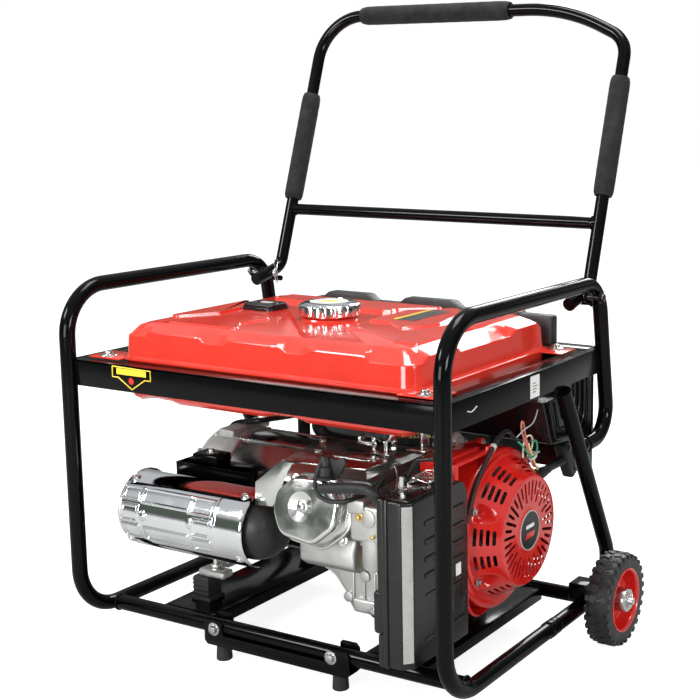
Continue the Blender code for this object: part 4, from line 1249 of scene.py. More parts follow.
def rope_grip_look():
    """The T-shaped handle, its stem, and the straight stretch of rope inside the starter."""
    turn = math.radians(30.0)
    bar = block("bar", at(0.2785, 0.2335, 0.25), at(0.3015, 0.2595, 0.324), 0.006, 4)
    waist = [
        rod(
            f"w{s}", at(0.2765, 0.2465, 0.287 + s), at(0.3035, 0.2465, 0.287 + s), 0.004, 16, None, 0.0008
        ) for s in (-0.024, 0.024)
    ]
    head = rotated(merged("head", [bar] + waist), turn, "X", at(GRIP_X, 0.2465, 0.287))
    stem = rod("stem", at(GRIP_X, 0.172, 0.283), at(GRIP_X, 0.24, 0.2865), 0.0058, 24, 0.0085)
    collar = rod("collar", at(GRIP_X, 0.1715, 0.283), at(GRIP_X, 0.182, 0.2834), 0.0074, 24, None, 0.001)
    add(
        merged("recoil_grip_look", [head, stem, collar]), "rope_grip", GRIP_GREY, ["recoil_grip"]
    )
    rope = rod("rope", at(GRIP_X, 0.056, 0.2825), at(GRIP_X, 0.174, 0.283), 0.002, 12)
    strands = []
    for k in range(3):
        path = [
            at(GRIP_X, 0.056 + 0.118 * s / 90, 0.2825) + spoke_x(120.0 * k + 16.0 * s) * 0.0014 for s in range(91)
        ]
        strands.append(tube(f"strand{k}", path, 0.001, 2))
    add(merged("starter_rope", [rope] + strands), "rope_grip", RUBBER)


def spoke_x(angle):
    """The direction across a line along Y, at an angle in degrees."""
    return Vector((math.cos(math.radians(angle)), 0.0, math.sin(math.radians(angle))))


def pulley_look():
    """The rope pulley, with the turns of rope wound in its groove."""
    profile = [
        (0.0086, 0.014), (0.0655, 0.014), (0.066, 0.0135), (0.066, 0.0118), (0.059, 0.0098), (0.059, 0.0042),
        (0.066, 0.0022), (0.066, 0.0005), (0.0655, 0.0), (0.0086, 0.0)
    ]
    wheel = lathe("wheel", profile, crank(0.283), (1, 0, 0), 64, True)
    webs = [
        rod(
            f"web{k}", crank(0.2838) + spoke(60 * k) * 0.014, crank(0.2838) + spoke(60 * k) * 0.054, 0.0028, 8
        ) for k in range(6)
    ]
    add(merged("recoil_pulley_look", [wheel] + webs), "pulley", DULL_PLASTIC, ["recoil_pulley"])
    path = [crank(0.2885 + 0.003 * s / 240) + spoke(6.0 * s) * 0.061 for s in range(241)]
    add(tube("wound_rope", path, 0.0017, 3), "pulley", RUBBER)


def flywheel_look():
    """The fan flywheel: a dished disc, its curved fan blades and the starter cup."""
    profile = [
        (0.0153, 0.042), (0.0295, 0.042), (0.03, 0.0415), (0.03, 0.0265), (0.0895, 0.026), (0.1, 0.0215),
        (0.1, 0.0), (0.086, 0.0), (0.084, 0.016), (0.0153, 0.016)
    ]
    parts = [lathe("disc", profile, crank(0.218), (1, 0, 0), 72, True)]
    for k in range(20):
        turn = spoke(18.0 * k)
        side = turn.cross(Vector((1, 0, 0)))
        lean = (turn + side * 0.35).normalized()
        outline = [(0.0, 0.0), (0.04, 0.0), (0.04, 0.01), (0.004, 0.019)]
        parts.append(prism(f"blade{k}", outline, 0.0022, crank(0.2425) + turn * 0.045, lean, (1, 0, 0)))
    add(merged("flywheel_look", parts), "crank", CAST, ["flywheel"])
    shaft = rod("shaft", crank(-0.2775), crank(0.269), 0.0149, 40, None, 0.0012)
    nut = rod("nut", crank(0.26), crank(0.2698), 0.0148, 6, None, 0.001)
    add(merged("crankshaft_look", [shaft, nut]), "crank", STEEL, ["crankshaft"])


def blower_look():
    """The pressed red drum round the fan, with the duct over the cylinder."""
    outline = [
        (0.106, 0.2756), (0.119, 0.2756), (0.125, 0.2745), (0.1276, 0.272), (0.1284, 0.268), (0.1284, 0.2105),
        (0.13, 0.209), (0.13, 0.206)
    ]
    outline += [(0.1262, 0.206), (0.1262, 0.268), (0.1245, 0.2718), (0.119, 0.2732), (0.106, 0.2732)]
    drum = lathe("drum", outline, at(0, CRANK_Y, 0.217), (1, 0, 0), 120, True)
    duct = block("duct", at(0.208, -0.085, 0.262), at(0.272, -0.0725, 0.352), 0.0045, 3)
    roof = block("roof", at(0.208, -0.0848, 0.3445), at(0.272, 0.036, 0.352), 0.0035, 3)
    ridge = prism(
        "ridge", [(-0.08, 0.349), (0.03, 0.349), (0.012, 0.3555), (-0.066, 0.3555)], 0.03, at(0.24, 0, 0),
        (0, 1, 0), (0, 0, 1), 0.0025
    )
    lobe = lathe(
        "lobe", [(0.044, 0.273), (0.047, 0.27), (0.0475, 0.208), (0.045, 0.208)], at(0, -0.006, 0.137), (1, 0, 0),
        64, True
    )
    tabs = [block("tab", at(0.27, 0.006, 0.342), at(0.2745, 0.034, 0.359), 0.0012, 2)]
    for angle in (20.0, 110.0, 160.0, 250.0):
        tabs.append(
            rod(
                f"boss{angle}", at(0.206, CRANK_Y, 0.217) + spoke(angle) * 0.129,
                at(0.216, CRANK_Y, 0.217) + spoke(angle) * 0.129, 0.008, 24, None, 0.001
            )
        )
    add(
        merged("blower_look", [drum, duct, roof, ridge, lobe] + tabs), "frame", RED,
        ["blower_housing"]
    )
    for k, angle in enumerate((20.0, 110.0, 160.0)):
        bolt(f"blower_bolt_{k}", at(0.216, CRANK_Y, 0.217) + spoke(angle) * 0.129, (1, 0, 0), 0.0046)
    trim = smooth_path(
        [at(0.2075, -0.086, 0.352), at(0.2075, -0.05, 0.3535), at(0.2075, 0.0, 0.3535), at(0.2075, 0.034, 0.353)]
    )
    add(tube("duct_edge", trim, 0.0013, 3), "frame", GOLD)


# ---------------------------------------------------------------- exhaust


def patch(value, low, high, soft):
    """1 inside a span and 0 outside, with ramps of the width soft at both ends."""
    return max(0.0, min(1.0, (value - low) / soft, (high - value) / soft))


def pressed(x, angle):
    """How far the heat shield's skin stands out, in units of the pressing's depth."""
    frames = (
        (-0.256, -0.222, 27, 43), (-0.214, -0.114, 25, 43), (-0.118, -0.074, 23, 43), (-0.254, -0.223, -3, 17),
        (-0.106, -0.075, -6, 13), (-0.251, -0.22, -29, -11), (-0.207, -0.118, -29, -12),
        (-0.108, -0.074, -30, -15)
    )
    height = 0.0
    for low, high, bottom, top in frames:
        outer = min(patch(x, low - 0.0032, high + 0.0032, 0.002), patch(angle, bottom - 3.0, top + 3.0, 1.8))
        inner = min(patch(x, low, high, 0.002), patch(angle, bottom, top, 1.8))
        height = max(height, outer - inner * 1.25)
    if -34 < angle < 50:
        height = max(height, patch(x, -0.07, -0.064, 0.0022))
    for middle in (40, 22, 5, -13):
        slot = min(patch(x, -0.059, -0.03, 0.0016), patch(angle, middle - 5.5, middle + 5.5, 1.8))
        height -= slot * 0.9
    for place, turn in ((-0.25, 58), (-0.027, 62), (-0.0255, -37), (-0.25, -40), (-0.21, 5), (-0.113, 7)):
        away = math.hypot(x - place, (angle - turn) * math.radians(1) * 0.0645)
        height = max(height, min(1.0, max(0.0, (0.0085 - away) / 0.0025)) * 0.6)
    return height


def muffler_shield_look():
    """The chromed heat shield: a curved skin with pressed frames, ridge, slots and rolled ends."""
    low, high = -0.2598, -0.0127
    columns, rows = 300, 220
    bottom, top = -70.0, 82.0
    bm = bmesh.new()
    grid = []
    for i in range(columns + 1):
        x = low + (high - low) * i / columns
        column = []
        for j in range(rows + 1):
            angle = bottom + (top - bottom) * j / rows
            roll = 0.0028 * math.exp(-min(x - low, high - x) / 0.0022)
            radius = 0.064 + 0.0034 * pressed(x, angle) - roll
            turn = math.radians(angle)
            column.append(bm.verts.new(at(x, -0.175 - radius * math.cos(turn), 0.237 + radius * math.sin(turn))))
        grid.append(column)
    for i in range(columns):
        for j in range(rows):
            bm.faces.new((grid[i][j], grid[i + 1][j], grid[i + 1][j + 1], grid[i][j + 1]))
    skin = sheet_metal(bm, "skin", (0, -1, 0), 0.001)
    add(skin, "frame", CHROME, ["muffler_shield"], 60.0)
    skin.name = "muffler_shield_look"
    # Black discs in the pressed slots stand in for open vent holes: painted shade of the opening, over the black
    # muffler seen through it.
    holes = []
    for k, (x, angle) in enumerate(((-0.0435, 40), (-0.037, 22), (-0.035, 5), (-0.036, -13))):
        turn = math.radians(angle)
        out = Vector((0, -math.cos(turn), math.sin(turn)))
        place = at(x, -0.175, 0.237) + out * 0.0628
        holes.append(rod(f"hole{k}", place, place + out * 0.0009, 0.0042, 20))
    add(merged("shield_vent_painted_shade", holes), "frame", BLACK_PLASTIC)
    for k, (x, angle) in enumerate(
        ((-0.25, 58), (-0.027, 62), (-0.0255, -37), (-0.25, -40), (-0.21, 5), (-0.113, 7))
    ):
        turn = math.radians(angle)
        out = Vector((0, -math.cos(turn), math.sin(turn)))
        place = at(x, -0.175, 0.237) + out * 0.065
        head = lathe(
            "head", [(0.0, 0.0028), (0.0015, 0.0026), (0.004, 0.0018), (0.005, 0.0)], place, out, 24, False
        )
        slot = block(
            "slot", place + out * 0.0022 - Vector((0.0035, 0.0006, 0.0006)),
            place + out * 0.0028 + Vector((0.0035, 0.0006, 0.0006))
        )
        add(merged(f"shield_screw_{k}", [head, slot]), "frame", ZINC)


def muffler_look():
    """The muffler can, its pipe, its bracket and its fixings."""
    profile = [
        (0.0, 0.1475), (0.01, 0.1472), (0.02, 0.145), (0.029, 0.1405), (0.037, 0.1345), (0.044, 0.126),
        (0.049, 0.116), (0.0515, 0.106)
    ]
    profile += [
        (0.052, 0.1), (0.052, -0.133), (0.0535, -0.1345), (0.0535, -0.142), (0.051, -0.143), (0.046, -0.143),
        (0.044, -0.147), (0.038, -0.149), (0.0, -0.149)
    ]
    can = lathe("can", profile, at(-0.1255, CAN_Y, CAN_Z), (1, 0, 0), 96, False)
    corners = [at(-0.04, -0.15, 0.24), at(-0.04, -0.112, 0.262), at(0.0245, -0.112, 0.262)]
    pipe = tube("pipe", rounded_path(corners, [0.02]), 0.014)
    flange = block("flange", at(0.02, -0.134, 0.246), at(0.0248, -0.09, 0.278), 0.0015, 2)
    add(merged("muffler_look", [can, pipe, flange]), "frame", MUFFLER, ["muffler"], 40.0)
    rim = lathe(
        "rim", [(0.0535, -0.136), (0.059, -0.1372), (0.06, -0.1395), (0.059, -0.1418), (0.0535, -0.143)],
        at(-0.1255, CAN_Y, CAN_Z), (1, 0, 0), 72, True
    )
    add(merged("muffler_end_ring", [rim]), "frame", ZINC)
    spout = lathe(
        "spout", [(0.011, 0.0), (0.013, 0.0), (0.013, 0.012), (0.011, 0.012)], at(-0.2745, -0.15, 0.262),
        (-1, 0, 0.0), 32, True
    )
    add(merged("exhaust_outlet", [spout]), "frame", STEEL)
    back = block("back", at(-0.243, -0.126, 0.272), at(-0.09, -0.1, 0.3), 0.002, 2)
    top = block("top", at(-0.243, -0.126, 0.296), at(-0.09, -0.08, 0.3), 0.0012, 2)
    lug = block("lug", at(-0.215, -0.118, 0.299), at(-0.162, -0.08, 0.316), 0.004, 3)
    add(merged("muffler_bracket", [back, top, lug]), "frame", FRAME_BLACK)
    bolt("muffler_bracket_bolt", at(-0.188, -0.1, 0.316), (0, 0, 1), 0.0058)


# ---------------------------------------------------------------- air filter


def filter_look():
    """The air filter: base, cover with its louvres, strip and tag."""
    left, right, front, back = 0.2489, 0.2905, -0.24, -0.0785
    corner = 0.0135
    outline = [(left, front), (right - corner, front), (right, front + corner), (right, back), (left, back)]
    shell = prism("shell", outline, 0.246, at(0, 0, 0.2125), (1, 0, 0), (0, 1, 0), 0.0035, 4)
    away = [
        (back + 0.004, 0.34), (back + 0.004, 0.3), (back, 0.3), (back - 0.006, 0.317), (back - 0.013, 0.329),
        (back - 0.026, 0.336), (back - 0.034, 0.34)
    ]
    shell = cut_with(shell, [prism("away", away, 0.08, at(0.272, 0, 0), (0, 1, 0), (0, 0, 1))])
    parts = [
        shell, block("lip", at(left - 0.0008, front - 0.0022, 0.0885), at(left + 0.006, back, 0.3372), 0.0015, 2)
    ]
    for z in (0.2965, 0.269, 0.243, 0.219):
        rib = prism(
            "rib", rounded_rectangle(0.108, 0.0082, 0.004), 0.0048, at(right, -0.145, z), (0, 1, 0), (0, 0, 1),
            0.0018, 3
        )
        parts.append(rib)
    for z in (0.19, 0.124):
        parts.append(
            prism(
                "band", rounded_rectangle(0.11, 0.005, 0.0024), 0.003, at(right, -0.144, z), (0, 1, 0), (0, 0, 1),
                0.001, 2
            )
        )
    parts.append(
        prism(
            "panel", rounded_rectangle(0.074, 0.052, 0.006), 0.003, at(right, -0.129, 0.157), (0, 1, 0),
            (0, 0, 1), 0.0012, 2
        )
    )
    parts.append(block("step", at(0.25, -0.235, 0.335), at(0.286, -0.12, 0.3395), 0.0018, 2))
    add(merged("filter_cover_look", parts), "frame", BLACK_PLASTIC, ["filter_cover"])
    strip = prism(
        "strip", [(-0.0078, -0.115), (0.0078, -0.115), (0.0078, 0.115), (-0.0078, 0.115)], 0.0012,
        at(right - corner / 2 + 0.0004, front + corner / 2 - 0.0004, 0.215), (1, 1, 0), (0, 0, 1), 0.0004, 1
    )
    add(merged("filter_corner_strip", [strip]), "frame", STEEL)
    tag = prism(
        "tag", rounded_rectangle(0.014, 0.024, 0.001), 0.0004, at(right + 0.0002, -0.108, 0.199), (0, 1, 0),
        (0, 0, 1)
    )
    add(merged("filter_tag", [tag]), "frame", WHITE)
    back_box = block("box", at(0.2362, -0.24, 0.0882), at(0.2485, -0.088, 0.3368), 0.003, 3)
    back_box = cut_with(back_box, [block("notch", at(0.23, -0.245, 0.135), at(0.25, -0.19, 0.196), 0.009, 4)])
    duct = block("duct", at(0.212, -0.218, 0.125), at(0.24, -0.13, 0.19), 0.006, 3)
    roll = tube(
        "roll",
        rounded_path(
            [
                at(0.248, -0.2385, 0.095), at(0.248, -0.2385, 0.3352), at(0.248, -0.09, 0.3352),
                at(0.248, -0.09, 0.25)
            ],
            [0.01, 0.012]
        ),
        0.0024, 4
    )
    add(
        merged("filter_base_look", [back_box, duct, roll]), "frame", BLACK_PLASTIC,
        ["filter_base"]
    )
    core = [block("core", at(0.2492, -0.225, 0.111), at(0.2862, -0.101, 0.317), 0.004, 2)]
    core += [
        block(
            f"pleat{k}", at(0.249, -0.223 + 0.01 * k, 0.109), at(0.286, -0.218 + 0.01 * k, 0.319), 0.0012, 1
        ) for k in range(12)
    ]
    add(merged("filter_element_look", core), "frame", FOAM, ["filter_element"])
    latch_look()


def latch_look():
    """The bail latch: a sprung plate on its hinge pin, with a bent wire over it."""
    plate = block("plate", at(0.2385, -0.154, 0.3418), at(0.273, -0.126, 0.3436), 0.0006, 2)
    barrel = rod("barrel", at(0.27, -0.1548, 0.343), at(0.27, -0.1252, 0.343), 0.0034, 20, None, 0.0005)
    curl = rod("curl", at(0.2392, -0.154, 0.3438), at(0.2392, -0.126, 0.3438), 0.0026, 16, None, 0.0005)
    corners = [
        at(0.27, -0.158, 0.343), at(0.242, -0.158, 0.3475), at(0.242, -0.122, 0.3475), at(0.27, -0.122, 0.343)
    ]
    wire = tube("wire", rounded_path(corners, [0.004, 0.004], 6), 0.0013, 4)
    add(merged("filter_latch_look", [plate, barrel, curl, wire]), "latch", ZINC, ["filter_latch"])
    for tag, y in (("front", -0.178), ("rear", -0.108)):
        base = block("base", at(0.24, y - 0.01, 0.3372), at(0.256, y + 0.01, 0.34), 0.001, 2)
        loop = tube(
            "loop",
            rounded_path(
                [
                    at(0.242, y - 0.012, 0.34), at(0.242, y - 0.012, 0.349), at(0.262, y - 0.006, 0.35),
                    at(0.262, y + 0.006, 0.35), at(0.242, y + 0.012, 0.349), at(0.242, y + 0.012, 0.34)
                ],
                [0.003] * 4, 5
            ),
            0.0011, 4
        )
        add(merged(f"filter_clip_{tag}", [base, loop]), "frame", ZINC)


# ---------------------------------------------------------------- cylinder, head, shroud


SLOPE_OUT = Vector((0, -math.cos(CYLINDER_TILT), math.sin(CYLINDER_TILT)))
SLOPE_UP = Vector((0, math.sin(CYLINDER_TILT), math.cos(CYLINDER_TILT)))


def cylinder_place(distance, x=0.0, height=0.0):
    """A place along the tilted cylinder, x and height measured from its axis."""
    return crank(CYLINDER_X) + Vector((x, 0, 0)) + SLOPE_OUT * distance + SLOPE_UP * height


def rounded_outline(corners, radius, steps=5):
    """A closed flat outline with every corner rounded."""
    points = [Vector((x, y, 0)) for x, y in corners]
    outline = []
    for k, point in enumerate(points):
        before = points[k - 1]
        after = points[(k + 1) % len(points)]
        arc = rounded_path([before, point, after], [radius], steps)[1:-1]
        outline += [(p.x, p.y) for p in arc]
    return outline


def valve_cover_look():
    """The pressed valve cover, its bolts and the gasket line behind it."""
    corners = [
        (-0.064, -0.01), (-0.044, -0.048), (0.026, -0.056), (0.066, -0.022), (0.068, 0.026), (0.03, 0.054),
        (-0.03, 0.05), (-0.06, 0.024)
    ]
    across = (1, 0, 0)

    def layer(name, scale, shift, low, high, bevel):
        shape = rounded_outline([(x * scale + shift, y * scale) for x, y in corners], 0.03 * scale, 8)
        middle = cylinder_place((low + high) / 2)
        return prism(name, shape, high - low, middle, across, SLOPE_UP, bevel, 4)

    flange = layer("flange", 1.04, 0.0, 0.245, 0.251, 0.0024)
    skirt = layer("skirt", 0.88, -0.002, 0.249, 0.26, 0.001)
    crown = layer("crown", 0.9, -0.003, 0.258, 0.2742, 0.006)
    bowl = lathe(
        "bowl", [(0.0, -0.0058), (0.0085, -0.0058), (0.015, -0.004), (0.0225, 0.0), (0.024, 0.006), (0.0, 0.006)],
        cylinder_place(0.2742, -0.009, 0.003), SLOPE_OUT, 64, False
    )
    crown = cut_with(crown, [bowl])
    add(merged("valve_cover_look", [flange, skirt, crown]), "frame", ZINC, ["valve_cover"])
    bolt(
        "valve_cover_bolt", cylinder_place(0.2684, -0.009, 0.003), SLOPE_OUT, 0.0065, True, "frame", STEEL, 0.0055
    )
    arc = [cylinder_place(0.2744, -0.028 + 0.0085 * k, 0.032 + 0.0014 * (k % 2)) for k in range(6)]
    add(tube("valve_cover_bead", smooth_path(arc), 0.0009, 3), "frame", ZINC)


def cylinder_look():
    """Barrel and head: a core, with thin cooling fins all round it."""
    core = prism("core", rounded_rectangle(0.112, 0.084, 0.012), 0.09, cylinder_place(0.199), (1, 0, 0), SLOPE_UP)
    fins = [core]
    for k in range(5):
        fins.append(
            prism(
                f"fin{k}", rounded_rectangle(0.122, 0.096, 0.012), 0.0026, cylinder_place(0.156 + 0.009 * k),
                (1, 0, 0), SLOPE_UP, 0.0006, 1
            )
        )
    fins.append(
        prism(
            "head", rounded_rectangle(0.108, 0.084, 0.02), 0.044, cylinder_place(0.222), (1, 0, 0), SLOPE_UP,
            0.003, 3
        )
    )
    skirt = [(-0.082, 0.18), (-0.082, 0.292), (-0.146, 0.262), (-0.166, 0.216), (-0.166, 0.192), (-0.15, 0.18)]
    fins.append(prism("skirt", skirt, 0.104, at(0.0915, 0, 0), (0, 1, 0), (0, 0, 1), 0.006, 3))
    casting = [
        (0.056, 0.182), (0.06, 0.166), (0.074, 0.157), (0.091, 0.134), (0.095, 0.12), (0.104, 0.105),
        (0.16, 0.105), (0.186, 0.12), (0.186, 0.182)
    ]
    fins.append(prism("casting", casting, 0.034, at(0, -0.1, 0), (1, 0, 0), (0, 0, 1), 0.004, 3))
    for x, z, radius in ((0.06, 0.173, 0.0075), (0.098, 0.127, 0.0085), (0.13, 0.165, 0.009)):
        fins.append(rod("lug", at(x, -0.122, z), at(x, -0.09, z), radius, 24, None, 0.0014))
    for x in (0.105, 0.125, 0.145):
        fins.append(block("web", at(x, -0.12, 0.112), at(x + 0.004, -0.112, 0.176), 0.0015, 2))
    fins.append(block("boss", at(0.11, -0.126, 0.107), at(0.172, -0.11, 0.129), 0.004, 3))
    add(merged("cylinder_look", fins), "frame", CAST, ["cylinder_head"])
    for k, (x, height) in enumerate(((-0.05, 0.038), (0.05, 0.038), (0.05, -0.038), (-0.05, -0.038))):
        bolt(f"head_bolt_{k}", cylinder_place(0.2395, x, height), SLOPE_OUT, 0.0062, True, "frame", ZINC)


def crankcase_look():
    """The crankcase block with its ribs, covers and drain."""
    case = block("case", at(0.009, -0.0848, 0.1), at(0.2045, 0.1498, 0.2998), 0.012, 4)
    away = [
        (0.0, 0.08), (0.0, 0.172), (0.026, 0.166), (0.031, 0.15), (0.048, 0.141), (0.069, 0.117), (0.074, 0.104),
        (0.082, 0.08)
    ]
    case = cut_with(case, [prism("away", away, 0.13, at(0, -0.04, 0), (1, 0, 0), (0, 0, 1))])
    parts = [case]
    for y in (-0.052, 0.118):
        parts.append(block("pad", at(0.16, y - 0.022, 0.0604), at(0.198, y + 0.022, 0.13), 0.003, 2))
    for x in (0.095, 0.125, 0.155):
        parts.append(block("rib", at(x, -0.0875, 0.108), at(x + 0.005, 0.1525, 0.27), 0.002, 2))
    parts.append(
        lathe(
            "seat", [(0.016, 0.0), (0.055, 0.0), (0.06, 0.004), (0.06, 0.014), (0.016, 0.014)], crank(0.2045),
            (1, 0, 0), 48, True
        )
    )
    parts.append(block("sump", at(0.08, -0.078, 0.093), at(0.2, 0.145, 0.108), 0.005, 3))
    add(merged("crankcase_look", parts), "frame", CAST, ["crankcase"])
    for k, (y, z) in enumerate(((-0.07, 0.2), (-0.07, 0.28), (0.135, 0.12), (0.135, 0.28), (0.135, 0.2))):
        bolt(f"case_bolt_{k}", at(0.009, y, z), (-1, 0, 0), 0.005)
    bolt("oil_drain_bolt", at(0.152, -0.126, 0.115), (0, -1, 0), 0.0072)
    stub = lathe(
        "stub", [(0.0, 0.0), (0.006, 0.0), (0.006, 0.03), (0.0, 0.031)], at(0.176, -0.12, 0.202),
        (0.001, -0.01, -0.04), 24, False
    )
    add(merged("oil_drain_look", [stub]), "frame", GOLD, ["oil_drain_tube"])
    tip = lathe(
        "tip", [(0.0, 0.029), (0.0068, 0.029), (0.0072, 0.034), (0.0068, 0.044), (0.005, 0.0475), (0.0, 0.0475)],
        at(0.176, -0.12, 0.202), (0.001, -0.01, -0.04), 24, False
    )
    add(merged("oil_drain_tip", [tip]), "frame", WIRES["green"])


def shroud_look():
    """The bright cooling plate over the head:
    flat top, front face with its tab, and the folded side.
    """
    edge = [(0.034, -0.1895), (0.172, -0.172), (0.1795, -0.046), (0.001, -0.046)]
    top = prism("top", edge, 0.0016, at(0, 0, 0.3526), (1, 0, 0), (0, 1, 0), 0.0005, 2)
    face = [
        (-0.008, 0.318), (-0.01, 0.283), (-0.008, 0.281), (0.024, 0.284), (0.034, 0.3), (0.05, 0.335),
        (0.064, 0.357), (0.043, 0.357)
    ]
    front = prism("front", face, 0.0014, at(0, -0.205, 0), (1, 0, 0), (0, 0, 1), 0.0005, 2)
    ramp = [(-0.2056, 0.3556), (-0.2056, 0.3572), (-0.186, 0.3534), (-0.186, 0.3518)]
    tab = prism("ramp", ramp, 0.024, at(0.0535, 0, 0), (0, 1, 0), (0, 0, 1), 0.0004, 1)
    bend = tube("bend", [at(0.034, -0.188, 0.352), at(0.1, -0.18, 0.352), at(0.171, -0.171, 0.352)], 0.0014, 4)
    side = tube("side", [at(0.033, -0.188, 0.352), at(0.0015, -0.047, 0.352)], 0.0014, 4)
    wing = prism(
        "wing", [(0.135, 0.334), (0.222, 0.372), (0.24, 0.372), (0.138, 0.32)], 0.0014, at(0, -0.12, 0),
        (1, 0, 0), (0, 0, 1), 0.0004, 1
    )
    step = prism(
        "step", rounded_rectangle(0.07, 0.05, 0.008), 0.002, at(0.115, -0.11, 0.3538), (1, 0, 0), (0, 1, 0),
        0.0008, 2
    )
    add(
        merged("head_shroud_look", [top, front, tab, bend, side, wing, step]), "frame", ZINC,
        ["head_shroud"]
    )
    for k, place in enumerate((at(0.05, -0.125, 0.3534), at(0.018, -0.07, 0.3534), at(0.15, -0.07, 0.3534))):
        head = lathe("head", [(0.0, 0.003), (0.0052, 0.0026), (0.0062, 0.0)], place, (0, 0, 1), 24, False)
        slot = block("slot", place + Vector((-0.0058, -0.0006, 0.0024)), place + Vector((0.0058, 0.0006, 0.0034)))
        add(merged(f"shroud_screw_{k}", [head, slot]), "frame", STEEL)


def governor_look():
    """The throttle linkage above the engine: bent strips, springs and a link rod."""
    strips = [
        block("a", at(0.108, -0.102, 0.368), at(0.142, -0.099, 0.374), 0.0008, 2),
        block("b", at(0.134, -0.102, 0.356), at(0.14, -0.099, 0.386), 0.0008, 2),
        block("c", at(0.156, -0.102, 0.356), at(0.162, -0.099, 0.388), 0.0008, 2),
        block("d", at(0.108, -0.102, 0.372), at(0.113, -0.086, 0.38), 0.0008, 2),
        block("e", at(0.132, -0.104, 0.356), at(0.166, -0.08, 0.358), 0.0008, 2),
        block("f", at(0.172, -0.065, 0.356), at(0.206, -0.03, 0.36), 0.001, 2),
        block("g", at(0.188, -0.05, 0.358), at(0.192, -0.03, 0.388), 0.001, 2)
    ]
    add(merged("governor_bracket", strips), "frame", ZINC)
    for k, (start, end) in enumerate(
        ((at(0.16, -0.1, 0.383), at(0.192, -0.04, 0.383)), (at(0.137, -0.1, 0.381), at(0.205, -0.01, 0.372)))
    ):
        line = end - start
        side = line.cross(Vector((0, 0, 1))).normalized()
        path = []
        for s in range(181):
            angle = s * 0.62
            path.append(
                start + line * (s / 180) + (side * math.cos(angle) + Vector((0, 0, 1)) * math.sin(angle)) * 0.003
            )
        add(tube(f"governor_spring_{k}", path, 0.0005, 2), "frame", GOLD)
    solenoid = rod("solenoid", at(0.17, 0.035, 0.348), at(0.204, 0.035, 0.348), 0.019, 32, None, 0.002)
    cap = rod("cap", at(0.198, 0.035, 0.348), at(0.209, 0.035, 0.348), 0.012, 24, None, 0.0012)
    lump = block("lump", at(0.172, 0.005, 0.318), at(0.205, 0.062, 0.356), 0.006, 3)
    add(merged("throttle_control", [solenoid, cap, lump]), "frame", CAST)
    bolt("throttle_bolt_a", at(0.205, 0.055, 0.348), (1, 0, 0), 0.0042)
    bolt("throttle_bolt_b", at(0.195, 0.015, 0.356), (0, 0, 1), 0.0042)
    rod_path = smooth_path(
        [at(0.14, -0.098, 0.36), at(0.18, -0.12, 0.352), at(0.212, -0.15, 0.345), at(0.226, -0.175, 0.33)]
    )
    add(tube("throttle_link", rod_path, 0.0012, 4), "frame", STEEL)


def carburettor_look():
    """The carburettor, its float bowl, its screws and the fuel hose."""
    body = block("body", at(0.162, -0.202, 0.252), at(0.235, -0.156, 0.308), 0.006, 3)
    throat = rod("throat", at(0.21, -0.179, 0.28), at(0.2356, -0.179, 0.28), 0.026, 32, None, 0.002)
    nose = rod("nose", at(0.195, -0.204, 0.29), at(0.195, -0.15, 0.29), 0.014, 28, None, 0.002)
    ear = block("ear", at(0.16, -0.204, 0.293), at(0.19, -0.17, 0.316), 0.004, 3)
    add(merged("carburettor_look", [body, throat, nose, ear]), "frame", CAST, ["carburettor"])
    cup = lathe(
        "cup",
        [
            (0.0, 0.0), (0.005, 0.0), (0.006, 0.004), (0.02, 0.006), (0.022, 0.01), (0.022, 0.048),
            (0.0235, 0.049), (0.0235, 0.052), (0.0, 0.052)
        ],
        at(0.196, -0.18, 0.204), (0, 0, 1), 48, False
    )
    add(merged("float_bowl", [cup]), "frame", CAST)
    bolt("bowl_bolt", at(0.196, -0.18, 0.2045), (0, 0, -1), 0.005)
    bolt("idle_screw", at(0.182, -0.204, 0.291), (0, -1, 0), 0.0044, True, "frame", GOLD, 0.006)
    bolt("mixture_screw", at(0.206, -0.203, 0.265), (0, -1, 0), 0.0034, False, "frame", GOLD, 0.006)
    path = smooth_path(
        [
            at(0.18, -0.11, 0.379), at(0.182, -0.118, 0.36), at(0.186, -0.15, 0.338), at(0.185, -0.17, 0.318),
            at(0.185, -0.175, 0.308)
        ]
    )
    add(tube("fuel_hose", path, 0.0042, 6), "frame", RUBBER)
    for k, place in enumerate((path[3], path[-4])):
        ring = lathe(
            "ring", [(0.0043, -0.002), (0.0052, -0.002), (0.0052, 0.002), (0.0043, 0.002)], place,
            path[4] - path[3] if k == 0 else path[-3] - path[-4], 24, True
        )
        add(merged(f"hose_clamp_{k}", [ring]), "frame", ZINC)


